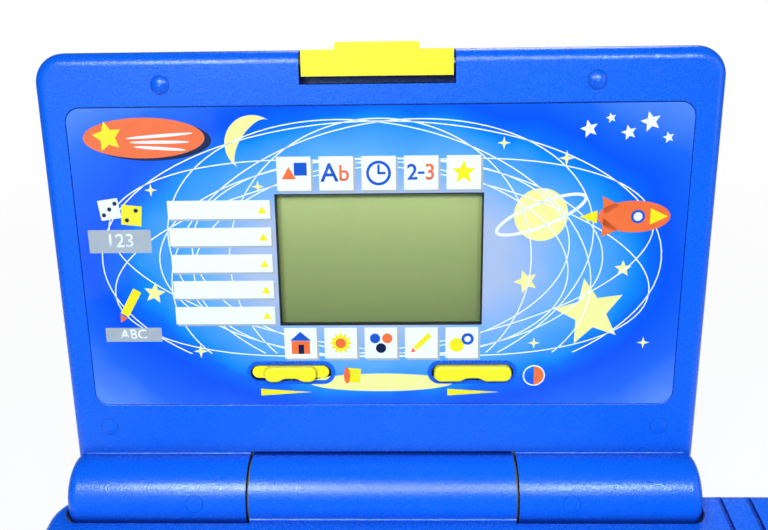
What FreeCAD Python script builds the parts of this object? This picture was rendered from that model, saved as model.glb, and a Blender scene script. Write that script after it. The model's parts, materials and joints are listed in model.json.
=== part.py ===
"""A toy laptop computer: a leaning lid with a small display, hinged to a keyboard base with a speaker console.

Millimetres, +Z up, the user sits on the -Y side and the origin is on the floor under the middle of the object.
The lid is drawn in its own frame: X along the hinge, Y up the lid from the hinge axis, Z out of its face.
The base is drawn with X and Y counted from the hinge axis at the lid's middle, and Z from the floor.
"""

import FreeCAD
import Part
import math
import os

from FreeCAD import Placement, Rotation, Vector

# Lid
LID_SIDE = 9.3  # lid beyond each side of the keyboard well
LID_PALM = 27.0  # lid beyond the front of the keyboard well
LID_SPLIT = 6.8  # hinge axis to the seam of the two shells
LID_CORNER = 11.5
LID_EDGE = 4.6
LID_WALL = 2.4
LID_FACE_WALL = 2.8
LID_LEAN = 15.0  # degrees that the open lid leans back
CLOSING_GAP = 1.6  # between the closed lid's face and the deck
SEAM_GROOVE = 0.5  # depth of the parting line around each pair of shells
SEAM_GROOVE_WIDTH = 0.8

# Hinge
BARREL_R = 16.5
BARREL_WALL = 2.6
BARREL_END_WALL = 2.8
CENTRE_BARREL = 109.4  # length of the base's barrel
HINGE_GAP = 1.3  # between neighbouring barrels
BARREL_CLEARANCE = 1.6
BARREL_NECK = 0.9  # rounding between each lid barrel and the bezel's face
LID_FOOT_GAP = 1.1  # between the centre barrel and the lid's lower edge
PIN_WALL = 1.5
PIN_FIT = 0.05
PIN_FLANGE_LAP = 1.5
PIN_FLANGE = 1.2
PIN_BOSS_WALL = 4.0
PIN_BOSS = 6.0  # depth of each pin's seat behind its end wall
WASHER_INSET = 2.2  # washer's edge below the barrel's surface
WASHER = 1.0
WASHER_FIT = 0.3
HOUSING_BEAD_R = 1.4  # half-round bead along the foot of the centre barrel
HOUSING_BEAD_SINK = 0.5  # its middle behind the barrel's front
COVER_SPLIT = 5.0  # hinge axis to the centre barrel's rear cover
COVER_FIT = 0.2

# Faceplate and display
FACEPLATE_SIDE = 11.4  # bezel beside the faceplate
FACEPLATE_TOP = 20.4  # bezel above the faceplate
FACEPLATE_LOW = 39.4  # hinge axis to the faceplate
FACEPLATE_CORNER = 5.5
FACEPLATE = 1.2
FACEPLATE_FIT = 0.2
FACEPLATE_RIM = 0.5  # rounding of the bezel's edge around the faceplate
DISPLAY_WIDTH = 81.6
DISPLAY_UP = 34.5  # above the faceplate's lower edge
DISPLAY_HEIGHT = 54.1
WINDOW_LAP = 3.0  # window hidden behind the frame of the opening
WINDOW = 1.2
PANEL_LAP = 4.0
PANEL = 3.4
BOARD = 1.6
DISPLAY_BOARD_SIDE = 18.0  # board beyond each side of the display
DISPLAY_BOARD_ABOVE = 12.0
DISPLAY_BOARD_BELOW = 28.0
BOARD_POST_R = 3.2
DISPLAY_POST_OUT = 13.0  # posts beyond the display's sides
DISPLAY_POST_UP = 7.0  # posts beyond its upper and lower edge

# Rockers
ROCKER_SPACING = 74.6
ROCKER_UP = 14.1  # above the faceplate's lower edge
ROCKER_SLOT_LENGTH = 35.0
ROCKER_SLOT = 8.6
ROCKER_LENGTH = 31.5
ROCKER_PLATE = 5.2
ROCKER_BLOCK = 6.4
VOLUME_BLOCK = 21.4
ROCKER_RISE = 2.4  # proud of the hinge axis plane
ROCKER_EDGE = 0.8
ROCKER_CORNER = 3.0
ROCKER_SCALLOP = 10.4
ROCKER_SCALLOP_FLAT = 4.8
ROCKER_SCALLOP_DEPTH = 1.4
ROCKER_SCALLOP_R = 2.5  # rounding where it begins and ends
ROCKER_PIVOT_DROP = 0.2  # pivot below the back of the bezel
ROCKER_PIVOT_R = 1.6
ROCKER_EAR = 2.2
ROCKER_EAR_GAP = 1.9  # between the slot and each ear
ROCKER_EAR_WALL = 1.0
ROCKER_STEM = 8.0
ROCKER_STEM_DEPTH = 1.0

# Latch
LATCH_POCKET = 59.0
LATCH_POCKET_DROP = 12.5  # from the lid's top edge
LATCH_POCKET_WALL = 3.1
LATCH_SIDE_GAP = 0.9
LATCH_CATCH_GAP = 4.0  # under the latch, where the base's tongue enters
LATCH_RISE = 0.2  # body above the lid's top edge
LATCH_THICKNESS = 4.2
LATCH_TAB = 31.8
LATCH_TAB_RISE = 2.9
LATCH_TAB_CORNER = 1.2
LATCH_LIP = 1.0
LATCH_LIP_HEIGHT = 1.5
LATCH_PIN_DROP = 5.0  # from the lid's top edge
LATCH_PIN_R = 1.5
LATCH_KNUCKLE_WALL = 1.5
LATCH_KNUCKLE_GAP = 0.8
LATCH_WEB = 3.4
TONGUE_SIDE = 2.6  # latch beyond each side of the tongue
TONGUE_GAP = 0.7
TONGUE = 1.9
TONGUE_HEIGHT = 5.2
TONGUE_BARB = 0.9
TONGUE_BARB_HEIGHT = 1.4
CATCH_FOOT = 1.6  # foot of the tongue under the deck
CATCH_LAP = 2.0
CATCH_FIT = 0.1

# Screws, plugs and bumpers
PLUG_R = 3.5
PLUG = 1.6
PLUG_FIT = 0.12  # the gap that outlines a plug, which stands on its seat
PLUG_DOME = 0.5  # rise of the lid's lower plugs
BUMPER_GAP = 0.3  # between a bumper and the deck, lid closed
SCREW_R = 1.3
SCREW_FIT = 0.05
SCREW_HOLE_FIT = 0.35
SCREW_HEAD_R = 2.6
SCREW_HEAD = 1.8
SCREW_HEAD_FIT = 0.3
SCREW_WELL = 2.2  # depth of the head's well under a plug
SCREW_BOSS_R = 5.2
SCREW_END = 1.2  # screw tip to the wall behind it
LID_PLUG_SIDE = 15.8  # from the lid's sides
LID_PLUG_HEIGHT = 29.2  # hinge axis to the lower plugs
BUMPER_SPREAD = 164.2
BUMPER_DROP = 11.9  # from the lid's top edge
BARREL_PLUG_IN = 21.0  # from each lid barrel's inner end
BARREL_PLUG_ANGLE = 9.5  # degrees above the open lid's face normal

# Base
BASE_LEFT = 9.2  # base beyond the lid's left side
CONSOLE_SPARE = 2.7  # between the battery bay and the right wall
FRONT_MARGIN = 8.0  # base beyond the closed lid
BASE_HEIGHT = 32.0
SEAM_DROP = 0.9  # seam of the two shells below the barrels' housing
BASE_REAR_CORNER = 16.0
BASE_FRONT_CORNER = 18.0
BASE_EDGE = 6.0
BASE_FOOT_EDGE = 2.0
BASE_WALL = 2.5
FOOT_DROP = 2.0
FOOT_SEAT = 1.0
FOOT_R = 7.0
FOOT_FIT = 0.1
FOOT_INSET = 22.0
FRONT_FOOT_INSET = 30.0  # from the front edge, behind the row of front screws
BASE_BOSS_R = 4.5
BASE_POST_R = 3.6
BASE_SCREW_LEDGE = 3.0  # tray boss between a screw's head and the seam
BASE_SCREW_BITE = 10.0
BASE_SCREW_SIDE = 4.8  # screws inside the lid's sides
BASE_SCREW_REAR = 26.0
BASE_SCREW_FRONT = 12.0  # from the front edge
CONSOLE_SCREW_SIDE = 6.0  # from the right side, so that the boss runs into the wall
CONSOLE_SCREW_REAR = 92.0

# Keyboard
KEY_PITCH = 23.5
ROW_PITCH = 22.0
KEY_GAP = 3.2
KEY_CORNER = 2.5
KEY_EDGE = 1.0
KEY_WALL = 1.6
KEY_STEM_R = 3.0
KEY_FIT = 0.4
KEY_FLANGE = 1.0
KEY_FLANGE_HEIGHT = 1.4
KEY_FLANGE_FIT = 0.3
KEY_RISE = 1.0  # key tops above the deck
KEY_DISH = 0.6  # depth of the hollow in a letter key's top
KEY_TRAVEL = 2.0
KEY_ROWS = (("qwertyuiop", 0.0), ("asdfghjkl", 0.0), ("zxcvbnm", 1.5))
ROW_KEYS = 10
SPACE_KEYS = 6
WELL_REAR = 44.0  # hinge axis to the keyboard well
WELL_STRIP = 19.0  # free strip behind the keys, under the closed lid's rockers
WELL_MARGIN = 4.0
WELL_DEPTH = 5.0
WELL_CORNER = 4.0
DOME = 2.0
DOME_R = 4.0
DOME_TOP_R = 2.4
DOME_FIT = 0.3
MAT = 1.2
MAT_MARGIN = 1.5
MAIN_BOARD_SIDE = 9.0  # board beyond the well's sides
MAIN_BOARD_REAR = 50.0
MAIN_POST_SIDE = 5.5  # posts beyond the well's sides
MAIN_POST_END = 5.0  # posts inside the board's ends

# Console
GRILLE_FIRST = 10.3  # first groove beyond the lid's right side
GRILLE_PITCH = 12.0
GRILLE_COUNT = 4
GRILLE_WIDTH = 2.2
GROOVE_DEPTH = 1.6
GRILLE_SLOT_START = 21.4
GRILLE_SLOT_LENGTH = 45.0
SPEAKER_SIDE = 1.4  # between the speaker and the right wall
SPEAKER_RIM = 2.5
SPEAKER_FLANGE = 2.0
SPEAKER_DEPTH = 14.0
MAGNET_R = 15.0
MAGNET = 7.0
CONE_SHEET = 0.8
CONE_CLEARANCE = 0.3
CONE_CAP_R = 6.0
CONE_DEPTH = 5.0
POWER_R = 6.0
POWER_RISE = 2.5
POWER_REAR = 84.0
POWER_PITCH = 20.0

# Battery bay
CELL_R = 7.1
CELL_LENGTH = 49.0
CELL_NUB_R = 2.7
CELL_NUB = 1.0
CELL_SPACE = 0.8
CELL_COUNT = 3
CELL_GAP = 0.4
CONTACT = 0.5
CONTACT_WIDTH = 10.0
CONTACT_SPRING = 5.0
CONTACT_SPRING_R = 4.0
CONTACT_SPRING_TIP_R = 2.5
CONTACT_SPRING_WIRE = 0.6
BAY_WALL = 1.8
BAY_SIDE = 5.2  # bay beyond the lid's right side
BAY_MARGIN = 17.0  # from the front edge
DOOR = 2.0
DOOR_LAP = 1.0
DOOR_FIT = 0.3
DOOR_TAB = 9.0
DOOR_SCREW_HEAD = 1.0
DOOR_BOSS = 9.0
DOOR_BOSS_R = 4.0

# Cables
CABLE_R = 1.4
CABLE_ROOM = 1.1  # around the cable in a hinge pin
CABLE_SPARE = 0.5  # behind the cable in the lid
CABLE_BEND_R = 4.0
CABLE_TURN = 5.0  # from a pin's end to the cable's bend
CABLE_RISE = 14.0  # height up the lid where the cable has left its barrel
CABLE_RUN_UP = 62.0  # height up the lid of the display cable's end
CABLE_END = 16.0  # length of its last run, behind the display board
MAIN_CABLE_DROP = 12.0
MAIN_CABLE_LAP = 7.0  # on the main board

# Places that follow from the sizes above
EPS = 0.01
ROW_COUNT = len(KEY_ROWS) + 1
WELL_WIDTH = ROW_KEYS * KEY_PITCH + 2 * WELL_MARGIN
WELL_LENGTH = WELL_STRIP + ROW_COUNT * ROW_PITCH + WELL_MARGIN
FIRST_ROW = -(WELL_REAR + WELL_STRIP + ROW_PITCH / 2)
WELL_FRONT = -(WELL_REAR + WELL_LENGTH)

LID_WIDTH = WELL_WIDTH + 2 * LID_SIDE
LID_HEIGHT = WELL_REAR + WELL_LENGTH + LID_PALM
HALF_LID = LID_WIDTH / 2
FACE = -CLOSING_GAP / 2
FACE_FLOOR = FACE - LID_FACE_WALL
PANEL_BACK = FACE_FLOOR - WINDOW - PANEL
BACK = PANEL_BACK - BOARD - 2 * CABLE_R - CABLE_SPARE - LID_WALL
LID_DEPTH = -BACK
SPLIT = -LID_SPLIT
LID_FOOT = BARREL_R + LID_FOOT_GAP
FACEPLATE_WIDTH = LID_WIDTH - 2 * FACEPLATE_SIDE
FACEPLATE_HEIGHT = LID_HEIGHT - FACEPLATE_TOP - FACEPLATE_LOW
DISPLAY_LOW = FACEPLATE_LOW + DISPLAY_UP
ROCKER_HEIGHT = FACEPLATE_LOW + ROCKER_UP
ROCKER_AXIS = FACE_FLOOR - ROCKER_PIVOT_DROP - ROCKER_PIVOT_R
BUMPER_DOME = CLOSING_GAP - BUMPER_GAP

LATCH_POCKET_LOW = LID_HEIGHT - LATCH_POCKET_DROP
LATCH_POCKET_DEPTH = LID_DEPTH - LATCH_POCKET_WALL
LATCH_LOW = LATCH_POCKET_LOW + LATCH_CATCH_GAP
LATCH_WIDTH = LATCH_POCKET - 2 * LATCH_SIDE_GAP
LATCH_KNUCKLE_R = LATCH_PIN_R + LATCH_KNUCKLE_WALL
LATCH_PIN_HEIGHT = LID_HEIGHT - LATCH_PIN_DROP
LATCH_PIN_DEPTH = LATCH_POCKET_DEPTH - LATCH_KNUCKLE_R - LATCH_KNUCKLE_GAP
TONGUE_WIDTH = LATCH_WIDTH - 2 * TONGUE_SIDE
TONGUE_LOW = LATCH_POCKET_LOW + TONGUE_GAP

PIN_BORE_R = CABLE_R + CABLE_ROOM
PIN_R = PIN_BORE_R + PIN_WALL
PIN_FLANGE_R = PIN_R + PIN_FLANGE_LAP
PIN_BOSS_R = PIN_R + PIN_BOSS_WALL
WASHER_R = BARREL_R - WASHER_INSET
HALF_CENTRE = CENTRE_BARREL / 2
LID_BARREL_START = HALF_CENTRE + HINGE_GAP

CELL_PITCH = 2 * CELL_R + CELL_SPACE
BAY_LEFT = HALF_LID + BAY_SIDE
BAY_WIDTH = CELL_COUNT * CELL_PITCH
BAY_LENGTH = CELL_LENGTH + CELL_NUB + CONTACT_SPRING + 2 * CONTACT
CONSOLE = BAY_SIDE + BAY_WIDTH + BAY_WALL + CONSOLE_SPARE + BASE_WALL
BASE_WIDTH = BASE_LEFT + LID_WIDTH + CONSOLE
BASE_FRONT = LID_HEIGHT + FRONT_MARGIN
LEFT = -HALF_LID - BASE_LEFT
RIGHT = HALF_LID + CONSOLE
BAY_FRONT = -BASE_FRONT + BAY_MARGIN
BAY_REAR = -BAY_FRONT - BAY_LENGTH
CELL_Z = FOOT_DROP + DOOR + CELL_GAP + CELL_R
BAY_ROOF = CELL_Z + CELL_R + CELL_GAP
CONSOLE_X = HALF_LID + GRILLE_FIRST + (GRILLE_COUNT - 1) * GRILLE_PITCH / 2
SPEAKER_R = RIGHT - BASE_WALL - SPEAKER_SIDE - CONSOLE_X
SPEAKER_Y = -(GRILLE_SLOT_START + GRILLE_SLOT_LENGTH / 2)

DECK = FOOT_DROP + BASE_HEIGHT
DECK_UNDER = DECK - BASE_WALL
TRAY_FLOOR = FOOT_DROP + BASE_WALL
HINGE_Z = DECK + CLOSING_GAP / 2
SEAM = HINGE_Z - BARREL_R - BARREL_CLEARANCE - BASE_WALL - SEAM_DROP
BASE_SCREW_SEAT = SEAM - BASE_SCREW_LEDGE
WELL_FLOOR = DECK - WELL_DEPTH
FLANGE_TOP = WELL_FLOOR - BASE_WALL - KEY_FLANGE_FIT
KEY_BOTTOM = FLANGE_TOP - KEY_FLANGE_HEIGHT
MAT_TOP = KEY_BOTTOM - KEY_TRAVEL - DOME_FIT - DOME
BOARD_TOP = MAT_TOP - MAT
BOARD_UNDER = BOARD_TOP - BOARD

LEAN = math.radians(LID_LEAN)
LID_REACH = (LID_HEIGHT - LID_EDGE) * math.sin(LEAN) + (LID_DEPTH - LID_EDGE) * math.cos(LEAN) + LID_EDGE
HINGE_X = BASE_LEFT + HALF_LID - BASE_WIDTH / 2
HINGE_Y = (BASE_FRONT - LID_REACH) / 2
LID_PLACE = Placement(Vector(HINGE_X, HINGE_Y, HINGE_Z), Rotation(Vector(1, 0, 0), 90 - LID_LEAN))
BASE_PLACE = Placement(Vector(HINGE_X, HINGE_Y, 0), Rotation())
X_AXIS = Vector(1, 0, 0)
Y_AXIS = Vector(0, 1, 0)
Z_AXIS = Vector(0, 0, 1)


def box(x0, x1, y0, y1, z0, z1):
    return Part.makeBox(x1 - x0, y1 - y0, z1 - z0, Vector(x0, y0, z0))


def along_x(radius, x0, x1, y=0.0, z=0.0):
    return Part.makeCylinder(radius, x1 - x0, Vector(x0, y, z), X_AXIS)


def upright(radius, x, y, z0, z1):
    return Part.makeCylinder(radius, z1 - z0, Vector(x, y, z0), Z_AXIS)


def outline(corners):
    """A closed wire through (x, y, radius) corners, each rounded by a tangent arc."""
    edges = []
    ends = []
    count = len(corners)
    for i, (x, y, radius) in enumerate(corners):
        here = Vector(x, y, 0)
        back = (Vector(*corners[i - 1][:2], 0) - here).normalize()
        ahead = (Vector(*corners[(i + 1) % count][:2], 0) - here).normalize()
        if radius <= 0:
            ends.append((here, here))
            continue
        half = back.getAngle(ahead) / 2
        start = here + back * (radius / math.tan(half))
        stop = here + ahead * (radius / math.tan(half))
        middle = here + (back + ahead).normalize() * (radius / math.sin(half) - radius)
        edges.append(Part.Arc(start, middle, stop).toShape())
        ends.append((start, stop))
    for i in range(count):
        start = ends[i][1]
        stop = ends[(i + 1) % count][0]
        if start.distanceToPoint(stop) > EPS:
            edges.append(Part.makeLine(start, stop))
    return Part.Wire(Part.__sortEdges__(edges))


def prism(wire, z0, z1):
    face = Part.Face(wire)
    face.translate(Vector(0, 0, z0))
    return face.extrude(Vector(0, 0, z1 - z0))


def rounded_box(x0, x1, y0, y1, z0, z1, radius):
    corners = ((x0, y0), (x1, y0), (x1, y1), (x0, y1))
    return prism(outline([(x, y, radius) for x, y in corners]), z0, z1)


def spun(profile, x, y, z):
    """A solid of revolution about Z through (x, y), from (radius, height) points counted from z."""
    points = [Vector(x + radius, y, z + height) for radius, height in profile]
    face = Part.Face(Part.makePolygon(points + points[:1]))
    return face.revolve(Vector(x, y, 0), Z_AXIS, 360)


def edges_at(solid, height, on_rim):
    """The edges lying in the plane z = height whose middle passes the test on_rim(x, y)."""
    found = []
    for edge in solid.Edges:
        extent = edge.BoundBox
        if abs(extent.ZMin - height) > EPS or abs(extent.ZMax - height) > EPS:
            continue
        middle = edge.valueAt((edge.FirstParameter + edge.LastParameter) / 2)
        if on_rim(middle.x, middle.y):
            found.append(edge)
    return found


def tube(points, bend):
    """A cable of radius CABLE_R along straight runs joined by tangent arcs of radius bend."""
    edges = []
    start = points[0]
    for before, corner, after in zip(points, points[1:], points[2:]):
        back = (before - corner).normalize()
        ahead = (after - corner).normalize()
        half = back.getAngle(ahead) / 2
        arc_start = corner + back * (bend / math.tan(half))
        arc_stop = corner + ahead * (bend / math.tan(half))
        middle = corner + (back + ahead).normalize() * (bend / math.sin(half) - bend)
        edges.append(Part.makeLine(start, arc_start))
        edges.append(Part.Arc(arc_start, middle, arc_stop).toShape())
        start = arc_stop
    edges.append(Part.makeLine(start, points[-1]))
    section = Part.Wire(Part.makeCircle(CABLE_R, points[0], points[1] - points[0]))
    return Part.Wire(edges).makePipeShell([section], True, False)


def save(name, place, *solids):
    """Writes one named piece, or a group of separate solids, at its place in the object."""
    shape = solids[0] if len(solids) == 1 else Part.makeCompound(list(solids))
    shape = shape.copy()
    shape.Placement = place.multiply(shape.Placement)
    shape.exportStep("parts/" + name + ".step")
    bad = [solid for solid in shape.Solids if not solid.isValid()]
    print(name, len(shape.Solids), "solids,", round(shape.Volume / 1000, 2), "cm3", "INVALID" if bad else "")


def mirrored_x(positions):
    return [(side * x, y) for x, y in positions for side in (-1, 1)]


def parting_line(plan, seam):
    """The groove that runs around a plan just under the seam of its two shells."""
    low = seam - SEAM_GROOVE_WIDTH
    return prism(plan(0), low, seam).cut(prism(plan(SEAM_GROOVE), low, seam))


# Lid shells
def lid_outline(inset):
    """The lid's plan, open at the bottom around the centre barrel, drawn in by inset."""
    side = HALF_LID - inset
    top = LID_HEIGHT - inset
    corner = LID_CORNER - inset
    leg = LID_BARREL_START + inset
    foot = LID_FOOT + inset
    return outline([(-side, 0, 0), (-leg, 0, 0), (-leg, foot, 0), (leg, foot, 0), (leg, 0, 0),
                    (side, 0, 0), (side, top, corner), (-side, top, corner)])


def lid_outer():
    """The closed outer form of the lid: a rounded slab and its two barrels."""
    slab = prism(lid_outline(0), BACK, FACE)

    def on_rim(x, y):
        return abs(x) > HALF_LID - LID_CORNER or y > LID_HEIGHT - EPS

    def on_outer_rim(x, y):
        return on_rim(x, y) and y > EPS

    rim = edges_at(slab, FACE, on_outer_rim) + edges_at(slab, BACK, on_outer_rim)
    slab = slab.makeFillet(LID_EDGE, rim)
    barrel = along_x(BARREL_R, LID_BARREL_START, HALF_LID)
    ends = [edge for edge in barrel.Edges if edge.BoundBox.XMin > HALF_LID - EPS]
    barrel = barrel.makeFillet(LID_EDGE, ends)
    barrel = barrel.fuse(barrel_neck())
    other = barrel.mirror(Vector(0, 0, 0), X_AXIS)
    return slab.fuse([barrel, other]).removeSplitter()


def barrel_neck():
    """The rounding in the corner between a lid barrel and the bezel's face."""
    start, stop = LID_BARREL_START, HALF_LID - LID_EDGE
    top = math.sqrt(BARREL_R ** 2 - FACE ** 2) + BARREL_NECK
    front = FACE + BARREL_NECK
    corner = box(start, stop, top - 2 * BARREL_NECK, top, FACE - BARREL_NECK, front)
    return corner.cut(along_x(BARREL_NECK, start, stop, top, front))


def lid_void():
    slab = prism(lid_outline(LID_WALL), BACK + LID_WALL, FACE_FLOOR)
    bore = along_x(BARREL_R - BARREL_WALL, LID_BARREL_START + BARREL_END_WALL, HALF_LID - LID_WALL)
    return slab.fuse([bore, bore.mirror(Vector(0, 0, 0), X_AXIS)])


def lid_stations():
    """Where the lid's screws enter: their seats on the outer form and how deep each may go."""
    flat = LID_DEPTH + FACE - LID_WALL
    flat_split = LID_SPLIT + FACE
    stations = []
    for x, y in mirrored_x([(HALF_LID - LID_PLUG_SIDE, LID_PLUG_HEIGHT)]):
        stations.append(("plug", Placement(Vector(x, y, FACE), Rotation()), flat, flat_split))
    for x, y in mirrored_x([(BUMPER_SPREAD / 2, LID_HEIGHT - BUMPER_DROP)]):
        stations.append(("bumper", Placement(Vector(x, y, FACE), Rotation()), flat, flat_split))
    angle = math.radians(BARREL_PLUG_ANGLE)
    seat_y = BARREL_R * math.sin(angle)
    seat_z = BARREL_R * math.cos(angle)
    tilt = Rotation(X_AXIS, -BARREL_PLUG_ANGLE)
    round_depth = 2 * BARREL_R - BARREL_WALL
    round_split = BARREL_R + (LID_SPLIT + SCREW_BOSS_R * math.sin(angle)) / math.cos(angle)
    barrel_x = LID_BARREL_START + BARREL_PLUG_IN
    for x in (-barrel_x, barrel_x):
        stations.append(("barrel", Placement(Vector(x, seat_y, seat_z), tilt), round_depth, round_split))
    return stations


def placed(solid, place):
    solid = solid.copy()
    solid.Placement = place.multiply(solid.Placement)
    return solid


def station_boss(depth):
    return upright(SCREW_BOSS_R, 0, 0, -depth - LID_WALL / 2, BUMPER_DOME)


def station_hole(depth, split):
    """A plug seat, the well of a screw head, a clearance hole to the seam and a pilot hole past it."""
    seat = -PLUG
    well = seat - SCREW_WELL
    hole = upright(PLUG_R + PLUG_FIT, 0, 0, seat, BUMPER_DOME)
    hole = hole.fuse(upright(SCREW_HEAD_R + SCREW_HEAD_FIT, 0, 0, well, seat))
    hole = hole.fuse(upright(SCREW_R + SCREW_HOLE_FIT, 0, 0, -split, well))
    return hole.fuse(upright(SCREW_R + SCREW_FIT, 0, 0, -depth, -split))


def screw(head_top, tip, head=SCREW_HEAD):
    """A self-tapping screw on the Z axis, driven towards tip."""
    way = 1 if tip > head_top else -1
    low_head = min(head_top, head_top + way * head)
    low_shank = min(head_top + way * head, tip)
    shank = abs(tip - head_top) - head
    cap = upright(SCREW_HEAD_R, 0, 0, low_head, low_head + head)
    return cap.fuse(upright(SCREW_R, 0, 0, low_shank, low_shank + shank)).removeSplitter()


def latch_pocket(grow, depth):
    return box(-LATCH_POCKET / 2 - grow, LATCH_POCKET / 2 + grow, LATCH_POCKET_LOW - grow,
               LID_HEIGHT + LATCH_TAB_RISE, -depth, -FACE)


def rocker_slot(x, grow, z0, z1):
    length = ROCKER_SLOT_LENGTH / 2 + grow
    height = ROCKER_SLOT / 2 + grow
    return rounded_box(x - length, x + length, ROCKER_HEIGHT - height, ROCKER_HEIGHT + height, z0, z1,
                       height - EPS)


def display_opening(z0, z1):
    return box(-DISPLAY_WIDTH / 2, DISPLAY_WIDTH / 2, DISPLAY_LOW, DISPLAY_LOW + DISPLAY_HEIGHT, z0, z1)


def display_posts():
    out = DISPLAY_WIDTH / 2 + DISPLAY_POST_OUT
    low = DISPLAY_LOW - DISPLAY_POST_UP
    high = DISPLAY_LOW + DISPLAY_HEIGHT + DISPLAY_POST_UP
    return mirrored_x([(out, low), (out, high)])


def faceplate_form(fit):
    side = FACEPLATE_WIDTH / 2 + fit
    return rounded_box(-side, side, FACEPLATE_LOW - fit, FACEPLATE_LOW + FACEPLATE_HEIGHT + fit,
                       FACE - FACEPLATE, FACE, FACEPLATE_CORNER + fit)


def rocker_ears(x):
    """The two ears that carry a rocker's pivot behind the bezel."""
    ears = []
    start = ROCKER_SLOT / 2 + ROCKER_EAR_GAP
    ear_r = ROCKER_PIVOT_R + ROCKER_EAR_WALL
    behind = box(-HALF_LID, HALF_LID, 0, LID_HEIGHT, BACK, FACE_FLOOR)
    for low in (ROCKER_HEIGHT + start, ROCKER_HEIGHT - start - ROCKER_EAR):
        seat = Vector(x, low, ROCKER_AXIS)
        ear = box(x - ear_r, x + ear_r, low, low + ROCKER_EAR, ROCKER_AXIS, FACE_FLOOR)
        ear = ear.fuse(Part.makeCylinder(ear_r, ROCKER_EAR, seat, Y_AXIS)).common(behind)
        ears.append(ear.cut(Part.makeCylinder(ROCKER_PIVOT_R + PIN_FIT, ROCKER_EAR, seat, Y_AXIS)))
    return ears


def build_lid_shells():
    outer = lid_outer()
    stations = lid_stations()
    shell = outer.cut(lid_void())
    shell = shell.fuse(latch_pocket(LID_WALL, LID_DEPTH).common(outer))
    shell = shell.fuse([placed(station_boss(depth), place).common(outer) for kind, place, depth, split in stations])
    pin_seats = []
    for side in (-1, 1):
        start = min(side * LID_BARREL_START, side * (LID_BARREL_START + BARREL_END_WALL + PIN_BOSS))
        pin_seats.append(along_x(PIN_BOSS_R, start, start + BARREL_END_WALL + PIN_BOSS))
    shell = shell.fuse(pin_seats)
    shell = shell.cut([latch_pocket(0, LATCH_POCKET_DEPTH)])
    shell = shell.cut([placed(station_hole(depth, split), place) for kind, place, depth, split in stations])
    shell = shell.cut(along_x(PIN_R + PIN_FIT, -HALF_LID + LID_WALL, HALF_LID - LID_WALL))
    pin_half = LATCH_POCKET / 2 + LID_WALL
    shell = shell.cut(along_x(LATCH_PIN_R + PIN_FIT, -pin_half, pin_half, LATCH_PIN_HEIGHT, -LATCH_PIN_DEPTH))

    room = HALF_LID + BARREL_R
    front = shell.common(box(-room, room, -room, LID_HEIGHT + room, SPLIT, room))
    rear = shell.common(box(-room, room, -room, LID_HEIGHT + room, -room, SPLIT))

    front = front.cut(faceplate_form(FACEPLATE_FIT))

    def around_faceplate(x, y):
        return abs(x) < FACEPLATE_WIDTH / 2 + 2 * FACEPLATE_FIT and FACEPLATE_LOW - 2 * FACEPLATE_FIT < y < face_top

    face_top = FACEPLATE_LOW + FACEPLATE_HEIGHT + 2 * FACEPLATE_FIT
    front = front.makeFillet(FACEPLATE_RIM, edges_at(front, FACE, around_faceplate))
    front = front.cut(display_opening(FACE_FLOOR - EPS, FACE))
    posts = [upright(BOARD_POST_R, x, y, PANEL_BACK, FACE_FLOOR) for x, y in display_posts()]
    for x in (-ROCKER_SPACING / 2, ROCKER_SPACING / 2):
        front = front.cut(rocker_slot(x, FACEPLATE_FIT, FACE_FLOOR - EPS, FACE))
        posts += rocker_ears(x)
    front = front.fuse(posts)
    pilots = [upright(SCREW_R + SCREW_FIT, x, y, PANEL_BACK, FACE_FLOOR) for x, y in display_posts()]
    front = front.cut(pilots).removeSplitter()
    save("lid_bezel", LID_PLACE, front)
    save("lid_rear_cover", LID_PLACE, rear.cut(parting_line(lid_outline, SPLIT)).removeSplitter())
    return outer, stations


def build_lid_fasteners(outer, stations):
    plugs = []
    bumpers = []
    screws = []
    for kind, place, depth, split in stations:
        disc = upright(PLUG_R, 0, 0, -PLUG, BUMPER_DOME)
        if kind == "barrel":
            plugs.append(placed(disc, place).common(outer))
        else:
            rise = BUMPER_DOME if kind == "bumper" else PLUG_DOME
            dome_r = (PLUG_R ** 2 + rise ** 2) / (2 * rise)
            dome = Part.makeSphere(dome_r, Vector(0, 0, rise - dome_r))
            group = bumpers if kind == "bumper" else plugs
            group.append(placed(disc.common(dome), place))
        head_top = -PLUG - SCREW_WELL + SCREW_HEAD
        screws.append(placed(screw(head_top, -depth + SCREW_END), place))
    board_back = PANEL_BACK - BOARD
    for x, y in display_posts():
        body = screw(board_back - SCREW_HEAD, FACE_FLOOR - SCREW_END)
        screws.append(placed(body, Placement(Vector(x, y, 0), Rotation())))
    save("screw_plugs", LID_PLACE, *plugs)
    save("lid_bumpers", LID_PLACE, *bumpers)
    save("lid_screws", LID_PLACE, *screws)


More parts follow.
